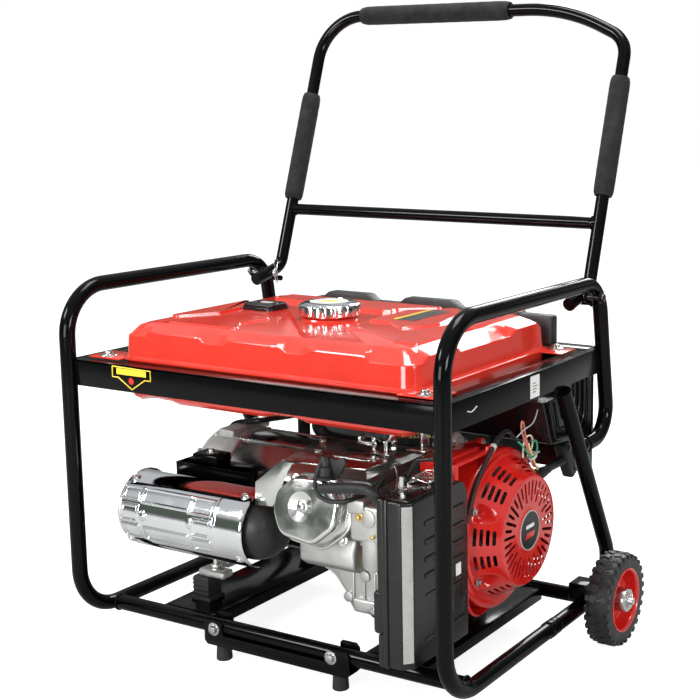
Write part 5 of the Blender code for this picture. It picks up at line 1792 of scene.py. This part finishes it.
def plug_and_pipes():
    """The spark plug cap and lead, the breather pipe and the choke lever."""
    boot = lathe(
        "boot",
        [
            (0.0, 0.034), (0.0065, 0.034), (0.0085, 0.031), (0.0085, 0.02), (0.011, 0.018), (0.011, 0.006),
            (0.015, 0.003), (0.015, 0.0), (0.0, 0.0)
        ],
        at(0.124, -0.206, 0.34), (-0.06, 0.12, 1.0), 32, False
    )
    skirt = prism(
        "skirt",
        [
            (-0.03, 0.0), (-0.012, 0.012), (-0.006, 0.024), (0.01, 0.02), (0.026, 0.026), (0.03, 0.018),
            (0.022, 0.004), (0.012, -0.01), (-0.01, -0.006)
        ],
        0.005, at(0.129, -0.2, 0.35), (1, 0, 0), (0, 0, 1), 0.0012, 2
    )
    add(merged("spark_plug_look", [boot, skirt]), "frame", RUBBER, ["spark_plug_cap"])
    lead = [
        at(0.1235, -0.205, 0.372), at(0.119, -0.212, 0.362), at(0.115, -0.218, 0.342), at(0.118, -0.22, 0.325),
        at(0.129, -0.219, 0.315), at(0.148, -0.215, 0.312), at(0.17, -0.205, 0.316), at(0.186, -0.16, 0.326),
        at(0.195, -0.1, 0.34)
    ]
    add(tube("ignition_lead", smooth_path(lead), 0.0034, 6), "frame", RUBBER)
    pipe = [
        at(0.128, -0.223, 0.331), at(0.148, -0.224, 0.335), at(0.186, -0.225, 0.3405), at(0.206, -0.225, 0.342),
        at(0.22, -0.2235, 0.338), at(0.2272, -0.217, 0.323), at(0.228, -0.208, 0.302)
    ]
    add(tube("breather_look", smooth_path(pipe), 0.0078, 10), "frame", RUBBER, ["breather_hose"])
    lever = [at(0.256, -0.195, 0.352), at(0.277, -0.1975, 0.387), at(0.307, -0.198, 0.393)]
    arm = tube("arm", rounded_path(lever, [0.006], 8), 0.0029, 6)
    hub = rod("hub", at(0.256, -0.203, 0.357), at(0.256, -0.187, 0.357), 0.0064, 24, None, 0.0008)
    tip = rod("tip", at(0.301, -0.198, 0.3918), at(0.3078, -0.198, 0.3931), 0.0038, 16, None, 0.0008)
    add(merged("choke_look", [arm, hub, tip]), "choke", BLACK_PLASTIC, ["choke_lever"])
    strut = block("strut", at(0.2525, -0.2045, 0.3372), at(0.2595, -0.2032, 0.362), 0.0006, 1)
    add(merged("choke_bracket", [strut]), "frame", ZINC)


def fuel_valve_look():
    """The fuel valve under the tank and its lever."""
    body = rod("body", at(VALVE_X, -0.135, VALVE_Z), at(VALVE_X, -0.085, VALVE_Z), 0.0124, 32, None, 0.0015)
    inlet = rod("inlet", at(VALVE_X, -0.11, VALVE_Z), at(VALVE_X, -0.11, 0.4147), 0.007, 6, None, 0.0006)
    outlet = lathe(
        "outlet",
        [
            (0.004, 0.0), (0.004, -0.008), (0.0052, -0.01), (0.004, -0.013), (0.0052, -0.015), (0.0036, -0.02),
            (0.0, -0.02)
        ],
        at(VALVE_X, -0.11, VALVE_Z), (0, 0, 1), 20, False
    )
    add(merged("fuel_valve_look", [body, inlet, outlet]), "frame", ZINC, ["fuel_valve"])
    hub = rod("hub", at(VALVE_X, -0.1353, VALVE_Z), at(VALVE_X, -0.143, VALVE_Z), 0.0094, 28, None, 0.001)
    arm = block("arm", at(0.15, -0.1428, 0.3935), at(0.183, -0.1375, 0.4025), 0.0018, 3)
    add(merged("fuel_lever_look", [hub, arm]), "valve_lever", BLACK_PLASTIC, ["fuel_valve_lever"])


# ---------------------------------------------------------------- alternator


def alternator_look():
    """The alternator: barrel, bands, end bell, rotor end and its loom."""
    band = [
        (STATOR_BORE, 0.0), (0.0965, 0.0), (STATOR_R, 0.0015), (STATOR_R, 0.056), (0.0955, 0.0585),
        (STATOR_BORE, 0.0585)
    ]
    near = lathe("near", [(r, d) for r, d in band], crank(-0.275), (1, 0, 0), 96, True)
    far = lathe(
        "far",
        [
            (STATOR_BORE, 0.0), (0.0975, 0.0), (STATOR_R, 0.001), (STATOR_R, 0.022), (0.094, 0.025),
            (STATOR_BORE, 0.025)
        ],
        crank(-0.02), (1, 0, 0), 96, True
    )
    foot = block("foot", at(-0.224, -0.06, 0.1023), at(-0.196, 0.16, 0.113), 0.003, 2)
    web = block("web", at(-0.223, -0.01, 0.11), at(-0.194, 0.11, 0.14), 0.003, 2)
    lugs = [
        block(
            f"lug{y}", at(-0.218, y - 0.0135, 0.1023), at(-0.164, y + 0.0135, 0.115), 0.004, 3
        ) for y in (-0.097, 0.194)
    ]
    arms = [
        block("arm_front", at(-0.22, -0.098, 0.104), at(-0.2, -0.05, 0.112), 0.002, 2),
        block("arm_rear", at(-0.22, 0.15, 0.104), at(-0.2, 0.195, 0.112), 0.002, 2)
    ]
    parts = [near, far, foot, web] + lugs + arms
    for k in range(8):
        turn = spoke(45.0 * k + 22.0)
        parts.append(
            rod(
                f"boss{k}", crank(-0.273) + turn * 0.0925, crank(-0.219) + turn * 0.0925, 0.0068, 20, None, 0.0012
            )
        )
    add(merged("alternator_look", parts), "frame", CAST, ["alternator_housing"])
    stack = lathe(
        "stack", [(0.074, 0.0), (0.094, 0.0), (0.0945, 0.0006), (0.0945, 0.199), (0.074, 0.199)], crank(-0.218),
        (1, 0, 0), 120, True
    )
    add(merged("stator_stack", [stack]), "frame", STATOR)
    for k in range(8):
        turn = spoke(45.0 * k + 22.0)
        rods = [rod("shank", crank(-0.279) + turn * 0.0962, crank(-0.01) + turn * 0.0962, 0.0024, 16)]
        rods.append(
            rod("end", crank(-0.224) + turn * 0.0962, crank(-0.218) + turn * 0.0962, 0.0046, 6, None, 0.0005)
        )
        add(merged(f"through_bolt_{k}", rods), "frame", ZINC)
    end = [
        (STATOR_BORE, 0.0197), (0.0955, 0.0197), (0.096, 0.019), (0.096, 0.011), (0.094, 0.007), (0.086, 0.0015),
        (0.082, 0.0), (0.052, -0.0026), (0.05, -0.003), (0.047, -0.0036), (0.0, -0.004), (0.0, 0.013),
        (0.068, 0.013)
    ]
    cover = lathe("cover", end, crank(-0.295), (1, 0, 0), 96, False)
    bm = bmesh.new()
    for ring, count, length in ((0.033, 10, 0.016), (0.07, 22, 0.016)):
        for k in range(count):
            turn = spoke(360.0 / count * k)
            stadium(bm, crank(-0.296) + turn * ring, turn, turn.cross(Vector((1, 0, 0))), length, 0.004, 0.013)
    cover = cut_with(cover, [from_bmesh(bm, "vents")])
    add(cover, "frame", CAST, ["alternator_end_cover"])
    cover.name = "alternator_end_look"
    for k in range(4):
        bolt(f"end_bolt_{k}", crank(-0.2945) + spoke(90.0 * k + 45.0) * 0.088, (-1, 0, 0), 0.0046)
    rotor = [
        lathe(
            "rotor",
            [
                (0.0153, 0.0), (0.05, 0.0), (0.0685, 0.005), (0.069, 0.006), (0.069, 0.224), (0.05, 0.23),
                (0.0153, 0.23)
            ],
            crank(-0.245), (1, 0, 0), 64, True
        )
    ]
    add(merged("alternator_rotor_look", rotor), "crank", STEEL, ["alternator_rotor"])
    for tag, y in (("front", -0.097), ("rear", 0.194)):
        cushion = block("cushion", at(-0.228, y - 0.017, 0.066), at(-0.194, y + 0.017, 0.1018), 0.003, 3)
        base = block("base", at(-0.231, y - 0.019, 0.0604), at(-0.19, y + 0.019, 0.0672), 0.0015, 2)
        ribs = [
            block(
                f"rib{k}", at(-0.2286, y - 0.0176, 0.073 + 0.0075 * k),
                at(-0.1934, y + 0.0176, 0.075 + 0.0075 * k), 0.0008, 1
            ) for k in range(4)
        ]
        add(merged(f"mount_look_{tag}", [cushion, base] + ribs), "frame", RUBBER, [f"mount_{tag}"])
        stud = rod("stud", at(-0.19, y, 0.115), at(-0.19, y, 0.133), 0.004, 16, None, 0.0006)
        nut = rod("nut", at(-0.19, y, 0.1162), at(-0.19, y, 0.123), 0.0088, 6, None, 0.0008)
        washer = rod("washer", at(-0.19, y, 0.115), at(-0.19, y, 0.1166), 0.0115, 28)
        add(merged(f"mount_stud_{tag}", [stud, nut, washer]), "frame", ZINC)
    box_lid = block("lid", at(-0.262, 0.0, 0.312), at(-0.228, 0.1, 0.326), 0.004, 3)
    add(merged("terminal_cover", [box_lid]), "frame", CAST)
    path = smooth_path(
        [
            at(-0.283, 0.05, 0.306), at(-0.264, 0.05, 0.323), at(-0.219, 0.052, 0.333), at(-0.18, 0.085, 0.338),
            at(-0.12, 0.12, 0.35)
        ],
        12
    )
    rings = []
    for k in range(0, len(path) - 1, 1):
        rings.append(
            lathe(
                f"r{k}", [(0.0045, -0.001), (0.0058, 0.0), (0.0045, 0.001)], path[k], path[k + 1] - path[k], 20,
                False
            )
        )
    add(merged("wire_loom", [tube("core", path, 0.0046, 5)] + rings), "frame", BLACK_PLASTIC)


# ---------------------------------------------------------------- control panel


def panel_look():
    """The control panel: box, sockets with lids, rocker, key, lamp and plate."""
    corners = [at(0, 0.1, 0.414), at(0, 0.128, 0.34), at(0, PANEL_FACE_Y, 0.3265), at(0, PANEL_FACE_Y, 0.4385)]
    flat = [(p.y + CENTRE_Y, p.z) for p in rounded_path(corners, [0.012, 0.036], 10)]
    flat += [(0.2, 0.4385), (0.2, 0.414)]
    shell = prism("shell", flat, 0.561, at(0.0425, 0, 0), (0, 1, 0), (0, 0, 1), 0.0022, 3)
    holes = [rod(f"h{x}", at(x, 0.245, SOCKET_Z), at(x, 0.27, SOCKET_Z), 0.019, 40) for x in (0.0, 0.08)]
    holes.append(block("rocker_hole", at(0.1502, 0.2405, 0.3642), at(0.1798, 0.2705, 0.3998)))
    holes.append(rod("key_hole", at(0.24, 0.245, SOCKET_Z), at(0.24, 0.27, SOCKET_Z), 0.0085, 28))
    shell = cut_with(shell, [merged("holes", holes)])
    parts = [shell]
    for x in (0.0, 0.08):
        parts.append(
            lathe(
                f"ring{x}", [(0.019, 0.246), (0.019, 0.2618), (0.0246, 0.2618), (0.025, 0.261), (0.025, 0.254)],
                at(x, 0, SOCKET_Z), (0, 1, 0), 48, False
            )
        )
    for side in (-0.239, 0.324):
        for inset in (0.006, 0.024, 0.042):
            bend = [
                at(side, 0.112 + inset, 0.408), at(side, 0.134 + inset * 0.8, 0.344 + inset * 0.7),
                at(side, 0.25 - inset, 0.332 + inset), at(side, 0.25 - inset, 0.43)
            ]
            parts.append(tube("rib", rounded_path(bend, [0.012, 0.036]), 0.0024, 4))
    for k in range(7):
        parts.append(
            block(
                f"louvre{k}", at(-0.2, 0.2545, 0.356 + 0.009 * k), at(-0.12, 0.2575, 0.36 + 0.009 * k), 0.0012, 2
            )
        )
    parts.append(block("bezel_low", at(-0.23, 0.254, 0.342), at(0.315, 0.2562, 0.345), 0.0008, 1))
    parts.append(block("bezel_top", at(-0.23, 0.254, 0.43), at(0.315, 0.2562, 0.433), 0.0008, 1))
    parts.append(block("apron", at(-0.236, 0.2604, 0.264), at(0.268, 0.264, 0.348), 0.0012, 2))
    parts.append(block("ledge", at(-0.236, 0.25, 0.34), at(0.32, 0.264, 0.345), 0.0012, 2))
    wing = [(0.3, 0.332), (0.3345, 0.322), (0.3345, 0.4385), (0.3, 0.4385)]
    parts.append(prism("wing", wing, 0.014, at(0, 0.256, 0), (1, 0, 0), (0, 0, 1), 0.004, 3))
    for x, z in ((0.323, 0.336), (0.327, 0.34)):
        parts.append(
            tube(
                "rib",
                smooth_path([at(x, 0.249, z), at(x + 0.003, 0.2486, z + 0.04), at(x + 0.001, 0.249, z + 0.09)]),
                0.002, 4
            )
        )
    add(merged("control_panel_look", parts), "frame", PANEL_BLACK, ["control_panel"])
    for k, (x, z) in enumerate(((-0.225, 0.425), (-0.225, 0.35), (0.31, 0.425), (0.31, 0.35))):
        bolt(f"panel_screw_{k}", at(x, PANEL_FACE_Y, z), (0, 1, 0), 0.0034, True, "frame", ZINC)
    plate = prism(
        "plate", rounded_rectangle(0.06, 0.03, 0.003), 0.0005, at(-0.065, 0.2552, 0.388), (1, 0, 0), (0, 0, 1)
    )
    add(merged("panel_plate", [plate]), "frame", STEEL)
    lamp = lathe(
        "lamp", [(0.0, 0.004), (0.002, 0.0037), (0.0036, 0.002), (0.0042, 0.0)], at(0.205, PANEL_FACE_Y, 0.408),
        (0, 1, 0), 20, False
    )
    add(merged("pilot_lamp", [lamp]), "frame", GOLD)
    for tag, x in (("left", 0.0), ("right", 0.08)):
        disc = lathe(
            "disc",
            [
                (0.0, 0.2666), (0.014, 0.2666), (0.015, 0.2672), (0.016, 0.2666), (0.024, 0.2664),
                (0.0255, 0.265), (0.0255, 0.2625), (0.0, 0.2625)
            ],
            at(x, 0, SOCKET_Z), (0, 1, 0), 56, False
        )
        barrel = rod(
            "barrel", at(x - 0.012, 0.2655, 0.4085), at(x + 0.012, 0.2655, 0.4085), 0.003, 20, None, 0.0004
        )
        pull = block("pull", at(x - 0.006, 0.263, 0.3555), at(x + 0.006, 0.2662, 0.36), 0.001, 2)
        add(
            merged(f"socket_lid_look_{tag}", [disc, barrel, pull]), f"lid_{tag}", DULL_PLASTIC,
            [f"socket_lid_{tag}"]
        )
        insert = lathe(
            "insert", [(0.0, 0.2475), (0.0186, 0.2475), (0.0186, 0.25), (0.012, 0.25), (0.0115, 0.2478)],
            at(x, 0, SOCKET_Z), (0, 1, 0), 40, False
        )
        pins = [
            rod(f"pin{k}", at(x + dx, 0.247, SOCKET_Z + dz), at(x + dx, 0.256, SOCKET_Z + dz), 0.0022, 12) for k,
            (dx, dz) in enumerate(((-0.0095, 0.0), (0.0095, 0.0), (0.0, 0.0095)))
        ]
        add(merged(f"socket_insert_{tag}", [insert] + pins), "frame", STEEL)
    rocker = prism(
        "rocker", [(-0.014, -0.008), (0.014, -0.006), (0.014, 0.004), (0.0, 0.0048), (-0.014, 0.0075)], 0.0236,
        at(0.165, 0.2532, 0.382), (0, 0, 1), (0, 1, 0), 0.0012, 3
    )
    add(merged("rocker_look", [rocker]), "rocker", RED, ["breaker_rocker"])
    stem = rod("stem", at(0.24, 0.2482, SOCKET_Z), at(0.24, 0.26, SOCKET_Z), 0.0079, 32, None, 0.0008)
    bow = prism(
        "bow", rounded_rectangle(0.022, 0.016, 0.006), 0.0038, at(0.24, 0.269, SOCKET_Z), (0, 1, 0), (0, 0, 1),
        0.001, 2
    )
    add(
        merged("key_look", [dressed(stem, STEEL), dressed(bow, DULL_PLASTIC)]), "key", None,
        ["key_switch"]
    )


def wiring():
    """The tied bundle beside the starter, each wire held by the tie at one
    end and the panel at the other.
    """
    runs = {
        "white": [
            (0.078, 0.328), (0.08, 0.348), (0.09, 0.359), (0.104, 0.358), (0.111, 0.348), (0.108, 0.338),
            (0.099, 0.328), (0.112, 0.307), (0.13, 0.301)
        ],
        "pink": [
            (0.092, 0.334), (0.078, 0.356), (0.068, 0.376), (0.069, 0.388), (0.075, 0.384), (0.08, 0.366),
            (0.09, 0.344), (0.099, 0.328), (0.11, 0.309), (0.124, 0.3)
        ],
        "yellow": [(0.086, 0.35), (0.091, 0.338), (0.098, 0.328), (0.108, 0.312), (0.116, 0.3)],
        "green": [
            (0.046, 0.362), (0.058, 0.354), (0.074, 0.34), (0.088, 0.328), (0.1, 0.327), (0.109, 0.336),
            (0.106, 0.35), (0.098, 0.352)
        ],
        "grey": [(0.112, 0.438), (0.106, 0.404), (0.09, 0.384), (0.062, 0.379), (0.036, 0.372)]
    }
    for k, (colour, run) in enumerate(runs.items()):
        path = smooth_path([at(0.298 + 0.003 * k, y, z) for y, z in run])
        add(tube(f"wire_{colour}", path, 0.0015 if colour != "grey" else 0.001, 4), "frame", WIRES[colour])
    ring = lathe(
        "ring", [(0.007, -0.0016), (0.0084, -0.0016), (0.0084, 0.0016), (0.007, 0.0016)], at(0.303, 0.099, 0.327),
        (0, 0.6, -0.8), 28, True
    )
    tail = block("tail", at(0.306, 0.096, 0.3285), at(0.3072, 0.118, 0.331), 0.0003, 1)
    add(merged("cable_tie", [ring, tail]), "frame", PALE_PLASTIC)
    hose = [
        at(0.279, -0.064, 0.256), at(0.28, -0.048, 0.294), at(0.279, -0.022, 0.323), at(0.277, 0.02, 0.356),
        at(0.274, 0.04, 0.364), at(0.27, 0.068, 0.368), at(0.266, 0.09, 0.364), at(0.26, 0.122, 0.345),
        at(0.254, 0.15, 0.35), at(0.25, 0.17, 0.37)
    ]
    add(tube("starter_hose", smooth_path(hose), 0.0036, 6), "frame", RUBBER)
    clip = lathe(
        "clip", [(0.0037, -0.003), (0.0052, -0.003), (0.0052, 0.003), (0.0037, 0.003)], at(0.277, 0.02, 0.356),
        (0, 0.9, 0.45), 24, True
    )
    add(merged("hose_clip", [clip]), "frame", PALE_PLASTIC)
    loom = [
        at(-0.15, 0.15, 0.33), at(-0.165, 0.156, 0.308), at(-0.148, 0.16, 0.29), at(-0.09, 0.16, 0.285),
        at(0.02, 0.16, 0.285), at(0.13, 0.16, 0.286), at(0.19, 0.164, 0.302), at(0.198, 0.17, 0.332)
    ]
    core = tube("core", smooth_path(loom), 0.0115, 8)
    wraps = []
    for k in range(34):
        place = at(-0.13 + 0.0085 * k, 0.16, 0.285)
        wraps.append(
            lathe(
                f"wrap{k}", [(0.01, -0.0022), (0.0124, -0.0016), (0.0124, 0.0016), (0.01, 0.0022)], place,
                (1, 0, 0), 24, True
            )
        )
    add(merged("panel_harness", [core] + wraps), "frame", RUBBER)
    strap = [block("drop", at(-0.229, 0.178, 0.262), at(-0.202, 0.1815, 0.338), 0.0008, 2)]
    strap.append(block("foot", at(-0.229, 0.128, 0.262), at(-0.202, 0.1815, 0.2655), 0.0008, 2))
    add(merged("panel_strap", strap), "frame", FRAME_BLACK)
    stop = block("stop", at(0.316, 0.242, 0.272), at(0.334, 0.26, 0.306), 0.003, 3)
    add(merged("rubber_stop", [stop]), "frame", DULL_PLASTIC)


def gasket_look():
    """The rubber seal inside the fuel cap."""
    profile = [(0.0385, 0.0), (0.03, 0.0), (0.03, 0.0022), (0.0385, 0.0022)]
    low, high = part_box("cap_gasket")
    middle = (low + high) / 2
    half = (high.z - low.z) / 2
    ring = lathe("ring", [(r, -half + d / 0.0022 * half * 2) for r, d in profile], middle, (0, 0, 1), 56, True)
    add(merged("gasket_look", [ring]), "cap_seal", RUBBER, ["cap_gasket"])


# ---------------------------------------------------------------- studio


def studio():
    """The floor, the world behind it and the five lamps."""
    scene = bpy.context.scene
    floor = bpy.data.meshes.new("floor")
    bm = bmesh.new()
    bmesh.ops.create_grid(bm, x_segments=1, y_segments=1, size=FLOOR_SIZE)
    bm.to_mesh(floor)
    bm.free()
    ground = bpy.data.objects.new("floor", floor)
    scene.collection.objects.link(ground)
    n = Nodes("floor")
    seen = n.tree.nodes.new("ShaderNodeLightPath")
    glow = n.tree.nodes.new("ShaderNodeMath")
    glow.operation = "MULTIPLY"
    glow.inputs[1].default_value = FLOOR_GLOW
    n.tree.links.new(seen.outputs["Is Camera Ray"], glow.inputs[0])
    ground.data.materials.append(
        n.set(
            Base_Color=n.colours(n.noise(0.6), (0.3, (0.4, 0.4, 0.39)), (0.7, (0.46, 0.46, 0.45))), Roughness=0.8,
            Emission_Color=(1.0, 1.0, 1.0, 1.0), Emission_Strength=glow.outputs["Value"]
        )
    )
    world = bpy.data.worlds.new("studio")
    world.use_nodes = True
    backdrop(world.node_tree)
    scene.world = world
    target = Vector((0, 0, 0.35))
    for name, place, size, power in (
        ("key", (-1.7, -2.6, 2.2), 1.1, 72.0), ("front", (0.1, -2.9, 0.75), 1.3, 42.0),
        ("fill", (2.7, -1.1, 1.0), 0.8, 36.0), ("top", (0.2, 0.2, 3.0), 1.5, 66.0),
        ("rear", (-0.4, 2.8, 2.0), 1.4, 45.0)
    ):
        light = bpy.data.lights.new(name, "AREA")
        light.shape = "RECTANGLE"
        light.size = size
        light.size_y = size * 0.7
        light.energy = power
        lamp = bpy.data.objects.new(name, light)
        lamp.location = place
        lamp.rotation_euler = (target - Vector(place)).to_track_quat("-Z", "Y").to_euler()
        scene.collection.objects.link(lamp)


def backdrop(tree):
    """White behind the object, and a soft sky for the light and the reflections."""
    path = tree.nodes.new("ShaderNodeLightPath")
    place = tree.nodes.new("ShaderNodeTexCoord")
    split = tree.nodes.new("ShaderNodeSeparateXYZ")
    tree.links.new(place.outputs["Generated"], split.inputs["Vector"])
    ramp = tree.nodes.new("ShaderNodeValToRGB")
    ramp.color_ramp.elements[0].position = 0.2
    ramp.color_ramp.elements[0].color = (0.1, 0.12, 0.1, 1.0)
    ramp.color_ramp.elements[1].position = 0.6
    ramp.color_ramp.elements[1].color = (0.6, 0.61, 0.62, 1.0)
    cloud = tree.nodes.new("ShaderNodeTexNoise")
    cloud.inputs["Scale"].default_value = 3.2
    cloud.inputs["Detail"].default_value = 1.0
    tree.links.new(place.outputs["Generated"], cloud.inputs["Vector"])
    drift = tree.nodes.new("ShaderNodeMath")
    drift.operation = "MULTIPLY_ADD"
    drift.inputs[1].default_value = 1.6
    tree.links.new(cloud.outputs["Fac"], drift.inputs[0])
    tree.links.new(split.outputs["Z"], drift.inputs[2])
    lift = tree.nodes.new("ShaderNodeMath")
    lift.operation = "SUBTRACT"
    lift.inputs[1].default_value = 0.8
    tree.links.new(drift.outputs["Value"], lift.inputs[0])
    tree.links.new(lift.outputs["Value"], ramp.inputs["Fac"])
    mix = tree.nodes.new("ShaderNodeMix")
    mix.data_type = "RGBA"
    colours = [socket for socket in mix.inputs if socket.type == "RGBA"]
    result = [socket for socket in mix.outputs if socket.type == "RGBA"][0]
    colours[1].default_value = (1.0, 1.0, 1.0, 1.0)
    tree.links.new(path.outputs["Is Camera Ray"], mix.inputs["Factor"])
    tree.links.new(ramp.outputs["Color"], colours[0])
    background = tree.nodes["Background"]
    tree.links.new(result, background.inputs["Color"])
    background.inputs["Strength"].default_value = 1.0


def camera():
    """The camera's place and lens, solved from the frame's vanishing lines."""
    data = bpy.data.cameras.new("camera")
    data.sensor_width = 36.0
    data.lens = 68.0
    data.shift_x = -0.2384
    data.shift_y = -0.0506
    data.clip_start = 0.05
    eye = bpy.data.objects.new("camera", data)
    place = at(1.2691, -1.7097, 0.8277 + RAIL_Z)
    target = at(0.0, 0.6009, 0.4078 + RAIL_Z)
    eye.location = place
    eye.rotation_euler = (target - place).to_track_quat("-Z", "Y").to_euler()
    bpy.context.scene.collection.objects.link(eye)
    bpy.context.scene.camera = eye
    bpy.context.scene.view_settings.view_transform = "Standard"


def carried_over():
    """Procedural materials for the CAD nodes whose shapes stay as they are."""
    finishes = {
        "frame_black": FRAME_BLACK, "gloss_red": RED, "chrome": CHROME, "zinc": ZINC, "cast_aluminium": CAST,
        "black_plastic": BLACK_PLASTIC, "rubber": RUBBER, "tyre": TYRE, "foam": FOAM, "muffler_black": MUFFLER,
        "steel": STEEL, "filter_foam": FOAM, "drain_yellow": GOLD
    }
    slots = {s["node"]: s["material_slot"] for s in frame["record"]["subparts"]}
    for node, obj in frame["nodes"].items():
        obj.data.materials.clear()
        obj.data.materials.append(finishes[slots[node]])


def main():
    """Builds everything, from the camera to the last wire."""
    camera()
    studio()
    carried_over()
    end_frames()
    base_rails()
    handle()
    foam_grips()
    handle_pivots()
    tank_frame()
    beams_and_feet()
    wheels()
    tank()
    fuel_cap()
    gauge()
    tank_trim()
    decals()
    gasket_look()
    recoil_cover_look()
    rope_grip_look()
    pulley_look()
    flywheel_look()
    blower_look()
    muffler_look()
    muffler_shield_look()
    filter_look()
    valve_cover_look()
    cylinder_look()
    crankcase_look()
    shroud_look()
    governor_look()
    carburettor_look()
    plug_and_pipes()
    fuel_valve_look()
    alternator_look()
    panel_look()
    wiring()


main()
